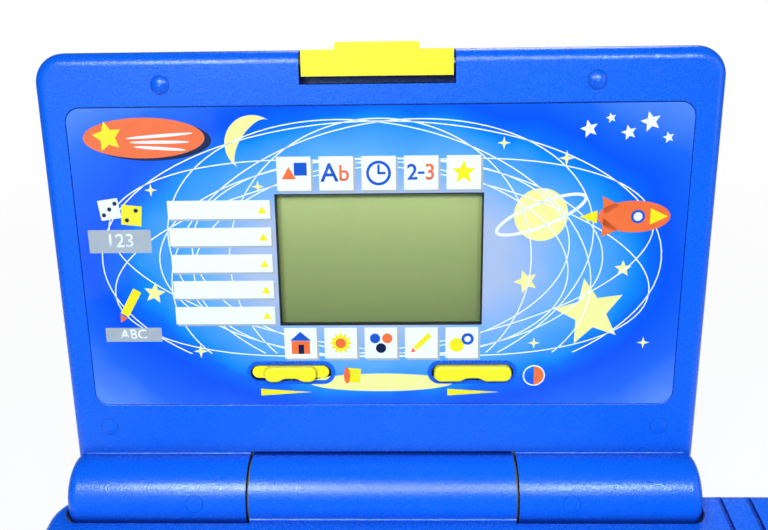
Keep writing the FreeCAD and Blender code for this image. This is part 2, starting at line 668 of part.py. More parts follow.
def build_display():
    sheet = faceplate_form(0).cut(display_opening(FACE - FACEPLATE, FACE))
    for x in (-ROCKER_SPACING / 2, ROCKER_SPACING / 2):
        sheet = sheet.cut(rocker_slot(x, 0, FACE - FACEPLATE, FACE))
    save("faceplate", LID_PLACE, sheet)
    half = DISPLAY_WIDTH / 2
    high = DISPLAY_LOW + DISPLAY_HEIGHT
    window = box(-half - WINDOW_LAP, half + WINDOW_LAP, DISPLAY_LOW - WINDOW_LAP, high + WINDOW_LAP,
                 FACE_FLOOR - WINDOW, FACE_FLOOR)
    panel = box(-half - PANEL_LAP, half + PANEL_LAP, DISPLAY_LOW - PANEL_LAP, high + PANEL_LAP,
                PANEL_BACK, FACE_FLOOR - WINDOW)
    board = box(-half - DISPLAY_BOARD_SIDE, half + DISPLAY_BOARD_SIDE, DISPLAY_LOW - DISPLAY_BOARD_BELOW,
                high + DISPLAY_BOARD_ABOVE, PANEL_BACK - BOARD, PANEL_BACK)
    for x, y in display_posts():
        board = board.cut(upright(SCREW_R + SCREW_HOLE_FIT, x, y, PANEL_BACK - BOARD, PANEL_BACK))
    save("lcd_window", LID_PLACE, window)
    save("lcd_panel", LID_PLACE, panel)
    save("display_board", LID_PLACE, board)


def build_rocker(name, x, block_length):
    """A rocking key: a thin plate with a raised, scalloped block, on a cross pivot behind the bezel."""
    plate_top = ROCKER_HEIGHT - ROCKER_SLOT / 2 + (ROCKER_SLOT + ROCKER_BLOCK) / 2
    plate = rounded_box(x - ROCKER_LENGTH / 2, x + ROCKER_LENGTH / 2, plate_top - ROCKER_PLATE, plate_top,
                        FACE_FLOOR - ROCKER_STEM_DEPTH, 0, ROCKER_PLATE / 2 - EPS)
    half = block_length / 2
    low = plate_top - ROCKER_BLOCK
    hollow = low + ROCKER_SCALLOP_DEPTH
    block = prism(outline([(x - half, low, ROCKER_CORNER), (x - ROCKER_SCALLOP / 2, low, ROCKER_SCALLOP_R),
                           (x - ROCKER_SCALLOP_FLAT / 2, hollow, ROCKER_SCALLOP_R),
                           (x + ROCKER_SCALLOP_FLAT / 2, hollow, ROCKER_SCALLOP_R),
                           (x + ROCKER_SCALLOP / 2, low, ROCKER_SCALLOP_R), (x + half, low, ROCKER_CORNER),
                           (x + half, plate_top, ROCKER_CORNER), (x - half, plate_top, ROCKER_CORNER)]),
                  FACE_FLOOR, ROCKER_RISE)
    block = block.makeFillet(ROCKER_EDGE, edges_at(block, ROCKER_RISE, lambda mx, my: True))
    stem = box(x - ROCKER_STEM / 2, x + ROCKER_STEM / 2, ROCKER_HEIGHT - ROCKER_PLATE / 2,
               ROCKER_HEIGHT + ROCKER_PLATE / 2, ROCKER_AXIS, FACE_FLOOR)
    reach = ROCKER_SLOT / 2 + ROCKER_EAR_GAP + ROCKER_EAR
    pivot = Part.makeCylinder(ROCKER_PIVOT_R, 2 * reach, Vector(x, ROCKER_HEIGHT - reach, ROCKER_AXIS), Y_AXIS)
    save(name, LID_PLACE, plate.fuse([block, stem, pivot]).removeSplitter())


def build_latch():
    """A sprung flap that turns on a cross pin, with a lip that catches the base's tongue."""
    half = LATCH_WIDTH / 2
    top = LID_HEIGHT + LATCH_RISE
    body = box(-half, half, LATCH_LOW, top, FACE - LATCH_THICKNESS, FACE)
    tab = rounded_box(-LATCH_TAB / 2, LATCH_TAB / 2, LATCH_LOW + LATCH_TAB_CORNER, LID_HEIGHT + LATCH_TAB_RISE,
                      FACE - LATCH_THICKNESS, FACE, LATCH_TAB_CORNER)
    lip = box(-half, half, LATCH_LOW - LATCH_LIP, LATCH_LOW, FACE - LATCH_LIP_HEIGHT, FACE)
    knuckle = along_x(LATCH_KNUCKLE_R, -half, half, LATCH_PIN_HEIGHT, -LATCH_PIN_DEPTH)
    web = box(-half, half, LATCH_PIN_HEIGHT - LATCH_WEB / 2, LATCH_PIN_HEIGHT + LATCH_WEB / 2,
              -LATCH_PIN_DEPTH, FACE - LATCH_THICKNESS)
    flap = body.fuse([tab, lip, knuckle, web]).removeSplitter()
    flap = flap.cut(along_x(LATCH_PIN_R + PIN_FIT, -half, half, LATCH_PIN_HEIGHT, -LATCH_PIN_DEPTH))
    save("latch_flap", LID_PLACE, flap)
    pin_half = LATCH_POCKET / 2 + LID_WALL
    save("latch_pin", LID_PLACE,
         along_x(LATCH_PIN_R, -pin_half, pin_half, LATCH_PIN_HEIGHT, -LATCH_PIN_DEPTH))


# Hinge
def pin_ends():
    """A pin's inner end, in the base, and its outer end, in a lid barrel."""
    inner = HALF_CENTRE - BARREL_END_WALL - PIN_BOSS
    outer = LID_BARREL_START + BARREL_END_WALL + PIN_BOSS
    return inner, outer


def build_hinge():
    inner, outer = pin_ends()
    pin = along_x(PIN_R, inner - PIN_FLANGE, outer, 0, HINGE_Z)
    pin = pin.fuse(along_x(PIN_FLANGE_R, inner - PIN_FLANGE, inner, 0, HINGE_Z))
    pin = pin.cut(along_x(PIN_BORE_R, inner - PIN_FLANGE, outer, 0, HINGE_Z))
    washer = along_x(WASHER_R, HALF_CENTRE, HALF_CENTRE + WASHER, 0, HINGE_Z)
    washer = washer.cut(along_x(PIN_R + WASHER_FIT, HALF_CENTRE, HALF_CENTRE + WASHER, 0, HINGE_Z))
    middle = Vector(0, 0, 0)
    save("hinge_pins", BASE_PLACE, pin, pin.mirror(middle, X_AXIS))
    save("hinge_washers", BASE_PLACE, washer, washer.mirror(middle, X_AXIS))


def hinge_cover_form(fit):
    """The rear part of the centre barrel's wall, between its end walls."""
    half = HALF_CENTRE - BARREL_END_WALL - PIN_FLANGE + fit
    wall = along_x(BARREL_R, -half, half, 0, HINGE_Z)
    wall = wall.cut(along_x(BARREL_R - BARREL_WALL, -half, half, 0, HINGE_Z))
    return wall.common(box(-half, half, COVER_SPLIT, BARREL_R, HINGE_Z - BARREL_R, HINGE_Z + BARREL_R))


# Base shells
def base_plan(inset):
    front = BASE_FRONT_CORNER - inset
    rear = BASE_REAR_CORNER - inset
    return outline([(LEFT + inset, -BASE_FRONT + inset, front), (RIGHT - inset, -BASE_FRONT + inset, front),
                    (RIGHT - inset, -inset, rear), (LEFT + inset, -inset, rear)])


def base_outer():
    slab = prism(base_plan(0), FOOT_DROP, DECK)
    slab = slab.makeFillet(BASE_EDGE, edges_at(slab, DECK, lambda x, y: True))
    return slab.makeFillet(BASE_FOOT_EDGE, edges_at(slab, FOOT_DROP, lambda x, y: True))


def base_screw_places():
    side = HALF_LID - BASE_SCREW_SIDE
    rear = -BASE_SCREW_REAR
    front = -BASE_FRONT + BASE_SCREW_FRONT
    console = RIGHT - CONSOLE_SCREW_SIDE
    return [(-side, rear), (side, rear), (console, -CONSOLE_SCREW_REAR), (-side, front), (0, front), (side, front)]


def main_board_ends():
    return WELL_FRONT - WELL_MARGIN, -MAIN_BOARD_REAR


def main_board_posts():
    front, rear = main_board_ends()
    side = WELL_WIDTH / 2 + MAIN_POST_SIDE
    return mirrored_x([(side, front + MAIN_POST_END), (side, rear - MAIN_POST_END)])


def key_places():
    """Every key's name, its centre and its width in key pitches."""
    places = []
    left = -(ROW_KEYS - 1) * KEY_PITCH / 2
    for row, (letters, shift) in enumerate(KEY_ROWS):
        y = FIRST_ROW - row * ROW_PITCH
        for column, letter in enumerate(letters):
            places.append(("key_" + letter, left + (column + shift) * KEY_PITCH, y, 1))
    places.append(("key_enter", left + (ROW_KEYS - 1) * KEY_PITCH, FIRST_ROW - ROW_PITCH, 1))
    places.append(("key_space", 0.0, FIRST_ROW - len(KEY_ROWS) * ROW_PITCH, SPACE_KEYS))
    return places


def power_places():
    return [("power_on", CONSOLE_X, -POWER_REAR), ("power_off", CONSOLE_X, -POWER_REAR - POWER_PITCH)]


def key_block(x, y, pitches, grow, z0, z1, corner):
    width = pitches * KEY_PITCH - KEY_GAP + 2 * grow
    depth = ROW_PITCH - KEY_GAP + 2 * grow
    return rounded_box(x - width / 2, x + width / 2, y - depth / 2, y + depth / 2, z0, z1, corner)


def barrel_pocket(side, grow):
    start = HALF_CENTRE - grow
    stop = HALF_LID + BARREL_CLEARANCE + grow
    pocket = along_x(BARREL_R + BARREL_CLEARANCE + grow, start, stop, 0, HINGE_Z)
    ends = [edge for edge in pocket.Edges if edge.BoundBox.XMin > stop - EPS]
    pocket = pocket.makeFillet(LID_EDGE + BARREL_CLEARANCE + grow, ends)
    return pocket if side > 0 else pocket.mirror(Vector(0, 0, 0), X_AXIS)


def well_form(grow, floor):
    half = WELL_WIDTH / 2 + grow
    return rounded_box(-half, half, WELL_FRONT - grow, -WELL_REAR + grow, floor, DECK, WELL_CORNER + grow)


def build_base_top(outer):
    half_bore = HALF_CENTRE - BARREL_END_WALL
    void = prism(base_plan(BASE_WALL), TRAY_FLOOR, DECK_UNDER)
    shell = outer.fuse(along_x(BARREL_R, -HALF_CENTRE, HALF_CENTRE, 0, HINGE_Z)).cut(void)
    shell = shell.fuse([barrel_pocket(side, BASE_WALL).common(outer) for side in (-1, 1)])
    shell = shell.cut(along_x(BARREL_R - BARREL_WALL, -half_bore, half_bore, 0, HINGE_Z))
    shell = shell.cut([barrel_pocket(side, 0) for side in (-1, 1)])
    inner, unused = pin_ends()
    for side in (-1, 1):
        start = min(side * inner, side * HALF_CENTRE)
        shell = shell.fuse(along_x(PIN_BOSS_R, start, start + HALF_CENTRE - inner, 0, HINGE_Z))
    shell = shell.cut(along_x(PIN_R, -HALF_CENTRE, HALF_CENTRE, 0, HINGE_Z))
    shell = shell.cut(hinge_cover_form(COVER_FIT))
    room = BASE_WIDTH
    top = shell.common(box(-room, room, -room, room, SEAM, room))

    top = top.fuse(well_form(BASE_WALL, WELL_FLOOR - BASE_WALL))
    top = top.cut(well_form(0, WELL_FLOOR))
    key_holes = []
    for name, x, y, pitches in key_places():
        key_holes.append(key_block(x, y, pitches, KEY_FIT, WELL_FLOOR - BASE_WALL, WELL_FLOOR, KEY_CORNER + KEY_FIT))
    for name, x, y in power_places():
        key_holes.append(upright(POWER_R + KEY_FIT, x, y, DECK_UNDER, DECK))
    top = top.cut(key_holes)
    top = top.cut(grille_cuts())

    posts = [upright(BASE_POST_R, x, y, SEAM, DECK_UNDER) for x, y in base_screw_places()]
    posts += [upright(BOARD_POST_R, x, y, BOARD_TOP, DECK_UNDER) for x, y in main_board_posts()]
    top = top.fuse(posts)
    pilots = [upright(SCREW_R + SCREW_FIT, x, y, SEAM, SEAM + BASE_SCREW_BITE) for x, y in base_screw_places()]
    pilots += [upright(SCREW_R + SCREW_FIT, x, y, BOARD_TOP, BOARD_TOP + BASE_SCREW_BITE)
               for x, y in main_board_posts()]
    top = top.cut(pilots + [tongue_stem(CATCH_FIT, DECK_UNDER, DECK)])
    top = top.fuse(along_x(HOUSING_BEAD_R, -HALF_CENTRE, HALF_CENTRE, HOUSING_BEAD_SINK - BARREL_R, DECK))
    above = box(-room, room, -room, room, DECK, room)
    save("base_top_cover", BASE_PLACE, top.cut(above).removeSplitter())
    save("hinge_housing", BASE_PLACE, top.common(above).removeSplitter())
    save("hinge_cover", BASE_PLACE, hinge_cover_form(0))


def grille_cuts():
    """Grooves from the rear edge that run on into open slots over the speaker."""
    cuts = []
    for i in range(GRILLE_COUNT):
        x = HALF_LID + GRILLE_FIRST + i * GRILLE_PITCH
        half = GRILLE_WIDTH / 2
        cuts.append(box(x - half, x + half, -GRILLE_SLOT_START, 0, DECK - GROOVE_DEPTH, DECK))
        stop = GRILLE_SLOT_START + GRILLE_SLOT_LENGTH
        cuts.append(box(x - half, x + half, -stop, -GRILLE_SLOT_START, DECK_UNDER, DECK))
    return cuts


def tongue_stem(grow, z0, z1):
    half = TONGUE_WIDTH / 2 + grow
    return box(-half, half, -TONGUE_LOW - TONGUE - grow, -TONGUE_LOW + grow, z0, z1)


def build_latch_catch():
    """The upright tongue that the latch's lip catches, put through the deck from below."""
    top = DECK + TONGUE_HEIGHT
    half = TONGUE_WIDTH / 2
    foot_under = DECK_UNDER - CATCH_FOOT
    barb = box(-half, half, -TONGUE_LOW - TONGUE - TONGUE_BARB, -TONGUE_LOW, top - TONGUE_BARB_HEIGHT, top)
    catch = tongue_stem(0, foot_under, top).fuse([barb, tongue_stem(CATCH_LAP, foot_under, DECK_UNDER)])
    save("latch_catch", BASE_PLACE, catch.removeSplitter())


def feet_places():
    rear = -FOOT_INSET
    front = -BASE_FRONT + FRONT_FOOT_INSET
    return [(LEFT + FOOT_INSET, rear), (RIGHT - FOOT_INSET, rear), (LEFT + FOOT_INSET, front),
            (HALF_LID - FOOT_INSET / 2, front)]


def door_form(fit):
    return box(BAY_LEFT - DOOR_LAP - fit, BAY_LEFT + BAY_WIDTH + DOOR_LAP + fit, BAY_FRONT - DOOR_TAB - fit,
               -BAY_REAR + DOOR_LAP + fit, FOOT_DROP, FOOT_DROP + DOOR)


def door_screw_place():
    return BAY_LEFT + BAY_WIDTH / 2, BAY_FRONT - DOOR_TAB / 2


def build_base_bottom(outer):
    void = prism(base_plan(BASE_WALL), TRAY_FLOOR, DECK_UNDER)
    room = BASE_WIDTH
    tray = outer.cut(void).common(box(-room, room, -room, room, FOOT_DROP, SEAM))
    bay_right = BAY_LEFT + BAY_WIDTH
    bay = box(BAY_LEFT - BAY_WALL, bay_right + BAY_WALL, BAY_FRONT - BAY_WALL, -BAY_REAR + BAY_WALL,
              TRAY_FLOOR, BAY_ROOF + BAY_WALL)
    door_x, door_y = door_screw_place()
    bosses = [upright(BASE_BOSS_R, x, y, TRAY_FLOOR, SEAM) for x, y in base_screw_places()]
    bosses.append(upright(DOOR_BOSS_R, door_x, door_y, FOOT_DROP + DOOR, FOOT_DROP + DOOR + DOOR_BOSS))
    tray = tray.fuse([bay] + bosses)
    tray = tray.cut(box(BAY_LEFT, bay_right, BAY_FRONT, -BAY_REAR, FOOT_DROP, BAY_ROOF))
    cuts = [door_form(DOOR_FIT), parting_line(base_plan, SEAM)]
    cuts.append(upright(SCREW_R + SCREW_FIT, door_x, door_y, FOOT_DROP, FOOT_DROP + DOOR + DOOR_BOSS))
    for x, y in base_screw_places():
        cuts.append(upright(SCREW_HEAD_R + SCREW_HEAD_FIT, x, y, FOOT_DROP, BASE_SCREW_SEAT))
        cuts.append(upright(SCREW_R + SCREW_HOLE_FIT, x, y, FOOT_DROP, SEAM))
    for x, y in feet_places():
        cuts.append(upright(FOOT_R + FOOT_FIT, x, y, FOOT_DROP, FOOT_DROP + FOOT_SEAT))
    save("base_bottom_tray", BASE_PLACE, tray.cut(cuts).removeSplitter())

    door = door_form(0)
    door = door.cut(upright(SCREW_R + SCREW_HOLE_FIT, door_x, door_y, FOOT_DROP, FOOT_DROP + DOOR))
    door = door.cut(upright(SCREW_HEAD_R + SCREW_HEAD_FIT, door_x, door_y, FOOT_DROP, FOOT_DROP + DOOR_SCREW_HEAD))
    save("battery_door", BASE_PLACE, door)
    save("rubber_feet", BASE_PLACE, *[upright(FOOT_R, x, y, 0, FOOT_DROP + FOOT_SEAT) for x, y in feet_places()])


def build_base_screws():
    screws = []
    for x, y in base_screw_places():
        body = screw(BASE_SCREW_SEAT - SCREW_HEAD, SEAM + BASE_SCREW_BITE - SCREW_END)
        screws.append(placed(body, Placement(Vector(x, y, 0), Rotation())))
    for x, y in main_board_posts():
        body = screw(BOARD_UNDER - SCREW_HEAD, BOARD_TOP + BASE_SCREW_BITE - SCREW_END)
        screws.append(placed(body, Placement(Vector(x, y, 0), Rotation())))
    x, y = door_screw_place()
    body = screw(FOOT_DROP, FOOT_DROP + DOOR + DOOR_BOSS - SCREW_END, DOOR_SCREW_HEAD)
    screws.append(placed(body, Placement(Vector(x, y, 0), Rotation())))
    save("base_screws", BASE_PLACE, *screws)


# Electronics of the base
def build_electronics():
    front, rear = main_board_ends()
    side = WELL_WIDTH / 2 + MAIN_BOARD_SIDE
    board = box(-side, side, front, rear, BOARD_UNDER, BOARD_TOP)
    for x, y in main_board_posts():
        board = board.cut(upright(SCREW_R + SCREW_HOLE_FIT, x, y, BOARD_UNDER, BOARD_TOP))
    save("main_board", BASE_PLACE, board)

    half = WELL_WIDTH / 2 - MAT_MARGIN
    mat_rear = FIRST_ROW + ROW_PITCH / 2 + MAT_MARGIN
    mat = rounded_box(-half, half, WELL_FRONT + MAT_MARGIN, mat_rear, BOARD_TOP, MAT_TOP, WELL_CORNER)
    domes = []
    for name, x, y, pitches in key_places():
        for offset in range(-(pitches // 3), pitches // 3 + 1, 2) if pitches > 1 else (0,):
            domes.append(Part.makeCone(DOME_R, DOME_TOP_R, DOME, Vector(x + offset * KEY_PITCH, y, MAT_TOP), Z_AXIS))
    save("key_dome_mat", BASE_PLACE, mat.fuse(domes))

    inner = SPEAKER_R - SPEAKER_RIM
    seat = SPEAKER_DEPTH - MAGNET
    basket = [(0, -SPEAKER_DEPTH), (MAGNET_R, -SPEAKER_DEPTH), (MAGNET_R, -seat - CONE_SHEET),
              (SPEAKER_R, -SPEAKER_FLANGE), (SPEAKER_R, 0), (inner, 0),
              (inner, -SPEAKER_FLANGE + CONE_SHEET), (MAGNET_R, -seat + CONE_SHEET), (0, -seat + CONE_SHEET)]
    rim = inner - CONE_CLEARANCE
    cone = [(0, -CONE_DEPTH + CONE_SHEET), (CONE_CAP_R, -CONE_DEPTH + CONE_SHEET), (rim, 0),
            (rim, -CONE_SHEET), (CONE_CAP_R, -CONE_DEPTH), (0, -CONE_DEPTH)]
    save("speaker_driver", BASE_PLACE, spun(basket, CONSOLE_X, SPEAKER_Y, DECK_UNDER),
         spun(cone, CONSOLE_X, SPEAKER_Y, DECK_UNDER - CONE_CLEARANCE))


def build_batteries():
    cells = []
    contacts = []
    cell_start = -BAY_REAR - CONTACT - CONTACT_SPRING
    for i in range(CELL_COUNT):
        x = BAY_LEFT + (i + 0.5) * CELL_PITCH
        cell = Part.makeCylinder(CELL_R, CELL_LENGTH, Vector(x, cell_start, CELL_Z), -Y_AXIS)
        nub = Part.makeCylinder(CELL_NUB_R, CELL_NUB, Vector(x, cell_start - CELL_LENGTH, CELL_Z), -Y_AXIS)
        cells.append(cell.fuse(nub).removeSplitter())
        half = CONTACT_WIDTH / 2
        contacts.append(box(x - half, x + half, BAY_FRONT, BAY_FRONT + CONTACT, CELL_Z - half, CELL_Z + half))
        plate = box(x - half, x + half, -BAY_REAR - CONTACT, -BAY_REAR, CELL_Z - half, CELL_Z + half)
        spring = Part.makeCone(CONTACT_SPRING_R, CONTACT_SPRING_TIP_R, CONTACT_SPRING,
                               Vector(x, -BAY_REAR - CONTACT, CELL_Z), -Y_AXIS)
        hollow = Part.makeCone(CONTACT_SPRING_R - CONTACT_SPRING_WIRE, CONTACT_SPRING_TIP_R - CONTACT_SPRING_WIRE,
                               CONTACT_SPRING, Vector(x, -BAY_REAR - CONTACT, CELL_Z), -Y_AXIS)
        contacts.append(plate.fuse(spring.cut(hollow)))
    save("battery_cells", BASE_PLACE, *cells)
    save("battery_contacts", BASE_PLACE, *contacts)


def build_cables():
    """The lead between the two boards, in two lengths that meet on the hinge axis inside the left pin."""
    inner, outer = pin_ends()
    meeting = -HALF_CENTRE - HINGE_GAP / 2
    board_rest = PANEL_BACK - BOARD - CABLE_R
    turn = -outer - CABLE_TURN
    middle = (FACE_FLOOR + BACK + LID_WALL) / 2
    lid_points = [Vector(meeting, 0, 0), Vector(turn, 0, 0), Vector(turn, CABLE_RISE, middle),
                  Vector(turn, CABLE_RUN_UP, board_rest), Vector(turn + CABLE_END, CABLE_RUN_UP, board_rest)]
    save("display_cable", LID_PLACE, tube(lid_points, CABLE_BEND_R))
    out = -inner + PIN_FLANGE + CABLE_TURN
    rest = BOARD_TOP + CABLE_R
    base_points = [Vector(meeting, 0, HINGE_Z), Vector(out, 0, HINGE_Z), Vector(out, -MAIN_CABLE_DROP, rest),
                   Vector(out, -MAIN_BOARD_REAR - MAIN_CABLE_LAP, rest)]
    save("main_cable", BASE_PLACE, tube(base_points, CABLE_BEND_R))


# Keys
def build_keys():
    top = DECK + KEY_RISE
    dish_half = (KEY_PITCH - KEY_GAP) / 2 - 2 * KEY_EDGE
    dish_r = (dish_half ** 2 + KEY_DISH ** 2) / (2 * KEY_DISH)
    for name, x, y, pitches in key_places():
        cap = key_block(x, y, pitches, 0, KEY_BOTTOM, top, KEY_CORNER)
        cap = cap.makeFillet(KEY_EDGE, edges_at(cap, top, lambda mx, my: True))
        cap = cap.fuse(key_block(x, y, pitches, KEY_FLANGE, KEY_BOTTOM, FLANGE_TOP, KEY_CORNER + KEY_FLANGE))
        cap = cap.cut(key_block(x, y, pitches, -KEY_WALL, KEY_BOTTOM, top - KEY_WALL, KEY_CORNER - KEY_WALL / 2))
        cap = cap.fuse(upright(KEY_STEM_R, x, y, KEY_BOTTOM, top - KEY_WALL))
        if pitches == 1:
            start = Vector(x, y - ROW_PITCH / 2, top + dish_r - KEY_DISH)
            cap = cap.cut(Part.makeCylinder(dish_r, ROW_PITCH, start, Y_AXIS))
        save(name, BASE_PLACE, cap.removeSplitter())
    flange_top = DECK_UNDER - KEY_FLANGE_FIT
    bottom = flange_top - KEY_FLANGE_HEIGHT
    for name, x, y in power_places():
        button = upright(POWER_R, x, y, bottom, DECK + POWER_RISE)
        button = button.makeFillet(KEY_EDGE, edges_at(button, DECK + POWER_RISE, lambda mx, my: True))
        button = button.fuse(upright(POWER_R + KEY_FIT + KEY_FLANGE, x, y, bottom, flange_top))
        save(name, BASE_PLACE, button.removeSplitter())


def main():
    os.makedirs("parts", exist_ok=True)
    lid_form, stations = build_lid_shells()
    build_lid_fasteners(lid_form, stations)
    build_display()
    build_rocker("volume_rocker", -ROCKER_SPACING / 2, VOLUME_BLOCK)
    build_rocker("contrast_rocker", ROCKER_SPACING / 2, ROCKER_LENGTH)
    build_latch()
    build_hinge()
    base_form = base_outer()
    build_base_top(base_form)
    build_latch_catch()
    build_base_bottom(base_form)
    build_base_screws()
    build_electronics()
    build_batteries()
    build_cables()
    build_keys()


main()
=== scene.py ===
# %% [markdown]
# # A blue toy laptop
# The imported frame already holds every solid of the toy: the lid's two shells, the base, the hinge, the
# keys and what is inside. This lesson gives each of them its finish and adds what screen printing and
# small mouldings leave on top: the picture on the faceplate, the rims of the slots, the display's mask, a
# lip at the lid's foot and the key letters.

# %% Load the frame
import json
import math

import bpy
from mathutils import Matrix, Vector


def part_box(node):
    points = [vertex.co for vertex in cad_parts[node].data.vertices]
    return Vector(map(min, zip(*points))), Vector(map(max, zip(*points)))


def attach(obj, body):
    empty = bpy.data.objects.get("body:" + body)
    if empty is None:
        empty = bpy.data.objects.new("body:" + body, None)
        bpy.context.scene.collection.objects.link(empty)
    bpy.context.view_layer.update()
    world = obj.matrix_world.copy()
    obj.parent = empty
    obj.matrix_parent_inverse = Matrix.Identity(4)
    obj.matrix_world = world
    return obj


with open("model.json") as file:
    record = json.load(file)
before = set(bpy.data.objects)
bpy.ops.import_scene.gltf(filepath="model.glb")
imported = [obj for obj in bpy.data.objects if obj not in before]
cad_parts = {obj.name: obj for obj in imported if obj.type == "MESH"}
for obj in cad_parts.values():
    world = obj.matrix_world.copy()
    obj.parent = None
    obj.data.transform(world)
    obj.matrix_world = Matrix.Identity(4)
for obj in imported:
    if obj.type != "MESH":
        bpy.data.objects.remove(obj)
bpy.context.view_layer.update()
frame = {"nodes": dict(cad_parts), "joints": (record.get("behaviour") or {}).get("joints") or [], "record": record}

# %% [markdown]
# The lid leans back, so its print is easiest to draw flat, in millimetres, and then to lay on the lid. The
# joints say where that plane is: the hinge gives a point on the lid's axis, and the rockers tilt about a
# line that runs straight up the lid. A matrix of these directions carries a drawing from the sheet of
# paper to the lid.

# %% The lid's drawing plane
MM = 0.001
SHEET = -0.8  # the faceplate's front, in mm from the hinge axis along lid_out
joints = {joint["name"]: joint for joint in frame["joints"]}
hinge = Vector(joints["lid_hinge"]["pos_m"])
across = Vector((1, 0, 0))
lid_up = Vector(joints["volume_rocker_tilt"]["axis"])
lid_out = across.cross(lid_up)
lid_turn = Matrix((across, lid_up, lid_out)).transposed()
lid_plane = Matrix.Translation(hinge) @ lid_turn.to_4x4() @ Matrix.Scale(MM, 4)
print("lid leans back", round(math.degrees(math.asin(lid_up.y)), 2), "degrees")

# %% [markdown]
# The camera stands where the photographer stood: close above the keyboard, looking down at the open lid,
# and turned and tipped by a degree or two. A focal length in pixels becomes a lens length through the
# sensor's width.

# %% Camera
FRAME_WIDTH = 768
FOCAL_PIXELS = 824.1
SENSOR_MM = 36.0
CAMERA_FROM_HINGE = Vector((9.5, -256.8, 259.3)) * MM
LOOK_DOWN, LOOK_SIDE, TIPPED = (math.radians(angle) for angle in (30.02, 1.59, -1.17))
CLOSEST = 10 * MM  # nothing nearer to the lens is drawn
bpy.ops.object.select_all(action="DESELECT")
bpy.ops.object.camera_add(location=hinge + CAMERA_FROM_HINGE)
camera = bpy.context.object
camera.name = "photo_camera"
camera.data.sensor_fit = "HORIZONTAL"
camera.data.sensor_width = SENSOR_MM
camera.data.lens = FOCAL_PIXELS / FRAME_WIDTH * SENSOR_MM
camera.data.clip_start = CLOSEST
turned = Matrix.Rotation(LOOK_SIDE, 3, "Z") @ Matrix.Rotation(math.pi / 2 - LOOK_DOWN, 3, "X")
camera.rotation_euler = (turned @ Matrix.Rotation(TIPPED, 3, "Z")).to_euler()
bpy.context.scene.camera = camera
print("lens", round(camera.data.lens, 2), "mm")

# %% [markdown]
# Every finish below is a small tree of nodes. One helper adds a node, sets its sockets and links them, so
# that a finish reads as a list of what it is made of. Colours are written as they look on a screen and
# turned to the linear values that the shader wants.

# %% Helpers for finishes
def linear(colour):
    channels = [int(colour[i:i + 2], 16) / 255 for i in (1, 3, 5)]
    return [c / 12.92 if c <= 0.04045 else ((c + 0.055) / 1.055) ** 2.4 for c in channels] + [1.0]


def add(tree, kind, sockets=None, stops=(), **settings):
    node = tree.nodes.new("ShaderNode" + kind)
    for name, value in settings.items():
        setattr(node, name, value)
    for i, (place, colour) in enumerate(stops):
        element = node.color_ramp.elements[i] if i < 2 else node.color_ramp.elements.new(place)
        element.position = place
        element.color = linear(colour)
    for name, value in (sockets or {}).items():
        if isinstance(value, bpy.types.NodeSocket):
            tree.links.new(value, node.inputs[name])
        else:
            node.inputs[name].default_value = value
    return node


def new_finish(name):
    material = bpy.data.materials.new(name)
    material.use_nodes = True
    material.node_tree.nodes.clear()
    tree = material.node_tree
    return material, tree, add(tree, "TexCoord").outputs["Object"]


def show(tree, shader):
    add(tree, "OutputMaterial", {"Surface": shader.outputs[0]})


print("a screen's middle grey is", round(linear("#808080")[0], 3), "in linear light")

# %% [markdown]
# The toy was photographed on white. The floor is a sheet of pale paper that takes a soft shadow near the
# toy and fades to white away from it, so that no edge shows behind. Mixing in a glow that only the camera
# sees does this, and the light that the paper throws back on the toy stays true.

# %% Floor
FLOOR_WIDTH = 9  # metres, as are the next three
FLOOR_DROP = 0.0002
SHADOW_NEAR, SHADOW_FAR = 0.2, 0.7
GLOW_NEAR = 0.88  # the glow's share under the toy, where the shadow shows most
bpy.ops.object.select_all(action="DESELECT")
bpy.ops.mesh.primitive_plane_add(size=FLOOR_WIDTH, location=(0, 0, -FLOOR_DROP))
floor = bpy.context.object
floor.name = "pale_floor"
material, tree, place = new_finish("pale_paper_floor")
seen = add(tree, "LightPath")
paper = add(tree, "BsdfDiffuse", {"Color": linear("#F6F7F8")})
glow = add(tree, "Emission", {"Color": linear("#FFFFFF"), "Strength": 1.0})
away = add(tree, "VectorMath", {0: place}, operation="LENGTH")
fade = add(tree, "MapRange", {"Value": away.outputs["Value"], "From Min": SHADOW_NEAR,
                              "From Max": SHADOW_FAR, "To Min": GLOW_NEAR, "To Max": 1.0})
share = add(tree, "Math", {0: seen.outputs["Is Camera Ray"], 1: fade.outputs[0]}, operation="MULTIPLY")
mixed = add(tree, "MixShader", {"Fac": share.outputs[0], 1: paper.outputs[0], 2: glow.outputs[0]})
show(tree, mixed)
floor.data.materials.append(material)
print("floor", FLOOR_WIDTH, "m wide")

# %% [markdown]
# The world is white where the camera sees it, also through the display's window. As a light and in a gloss
# it is much dimmer, so that the lamps give the shapes their shading.

# %% World
WORLD_LIGHT = 0.06
world = bpy.data.worlds.new("white_studio")
bpy.context.scene.world = world
world.use_nodes = True
tree = world.node_tree
tree.nodes.clear()
seen = add(tree, "LightPath")
direct = add(tree, "Math", {0: seen.outputs["Is Camera Ray"], 1: seen.outputs["Is Transmission Ray"]},
             operation="MAXIMUM")
level = add(tree, "MapRange", {"Value": direct.outputs[0], "To Min": WORLD_LIGHT, "To Max": 1.0})
white = add(tree, "Background", {"Color": linear("#FFFFFF"), "Strength": level.outputs[0]})
add(tree, "OutputWorld", {"Surface": white.outputs[0]})
bpy.context.scene.view_settings.view_transform = "Standard"
print("world light", WORLD_LIGHT)

# %% [markdown]
# A soft box just above the camera gives most of the light, and its grid keeps that light on the toy and
# off the table in front, which the lid would mirror. Two small strips put the bright bands on the hinge
# barrels. Two weak windows with the sky in them, a low one at the left and a high narrow one, pale the
# lid's left side and its top. A fill keeps the right side readable, and a lamp behind draws the light line
# along the top edge. Each lamp is an area light, because its size is what makes a reflection broad and a
# shadow soft.

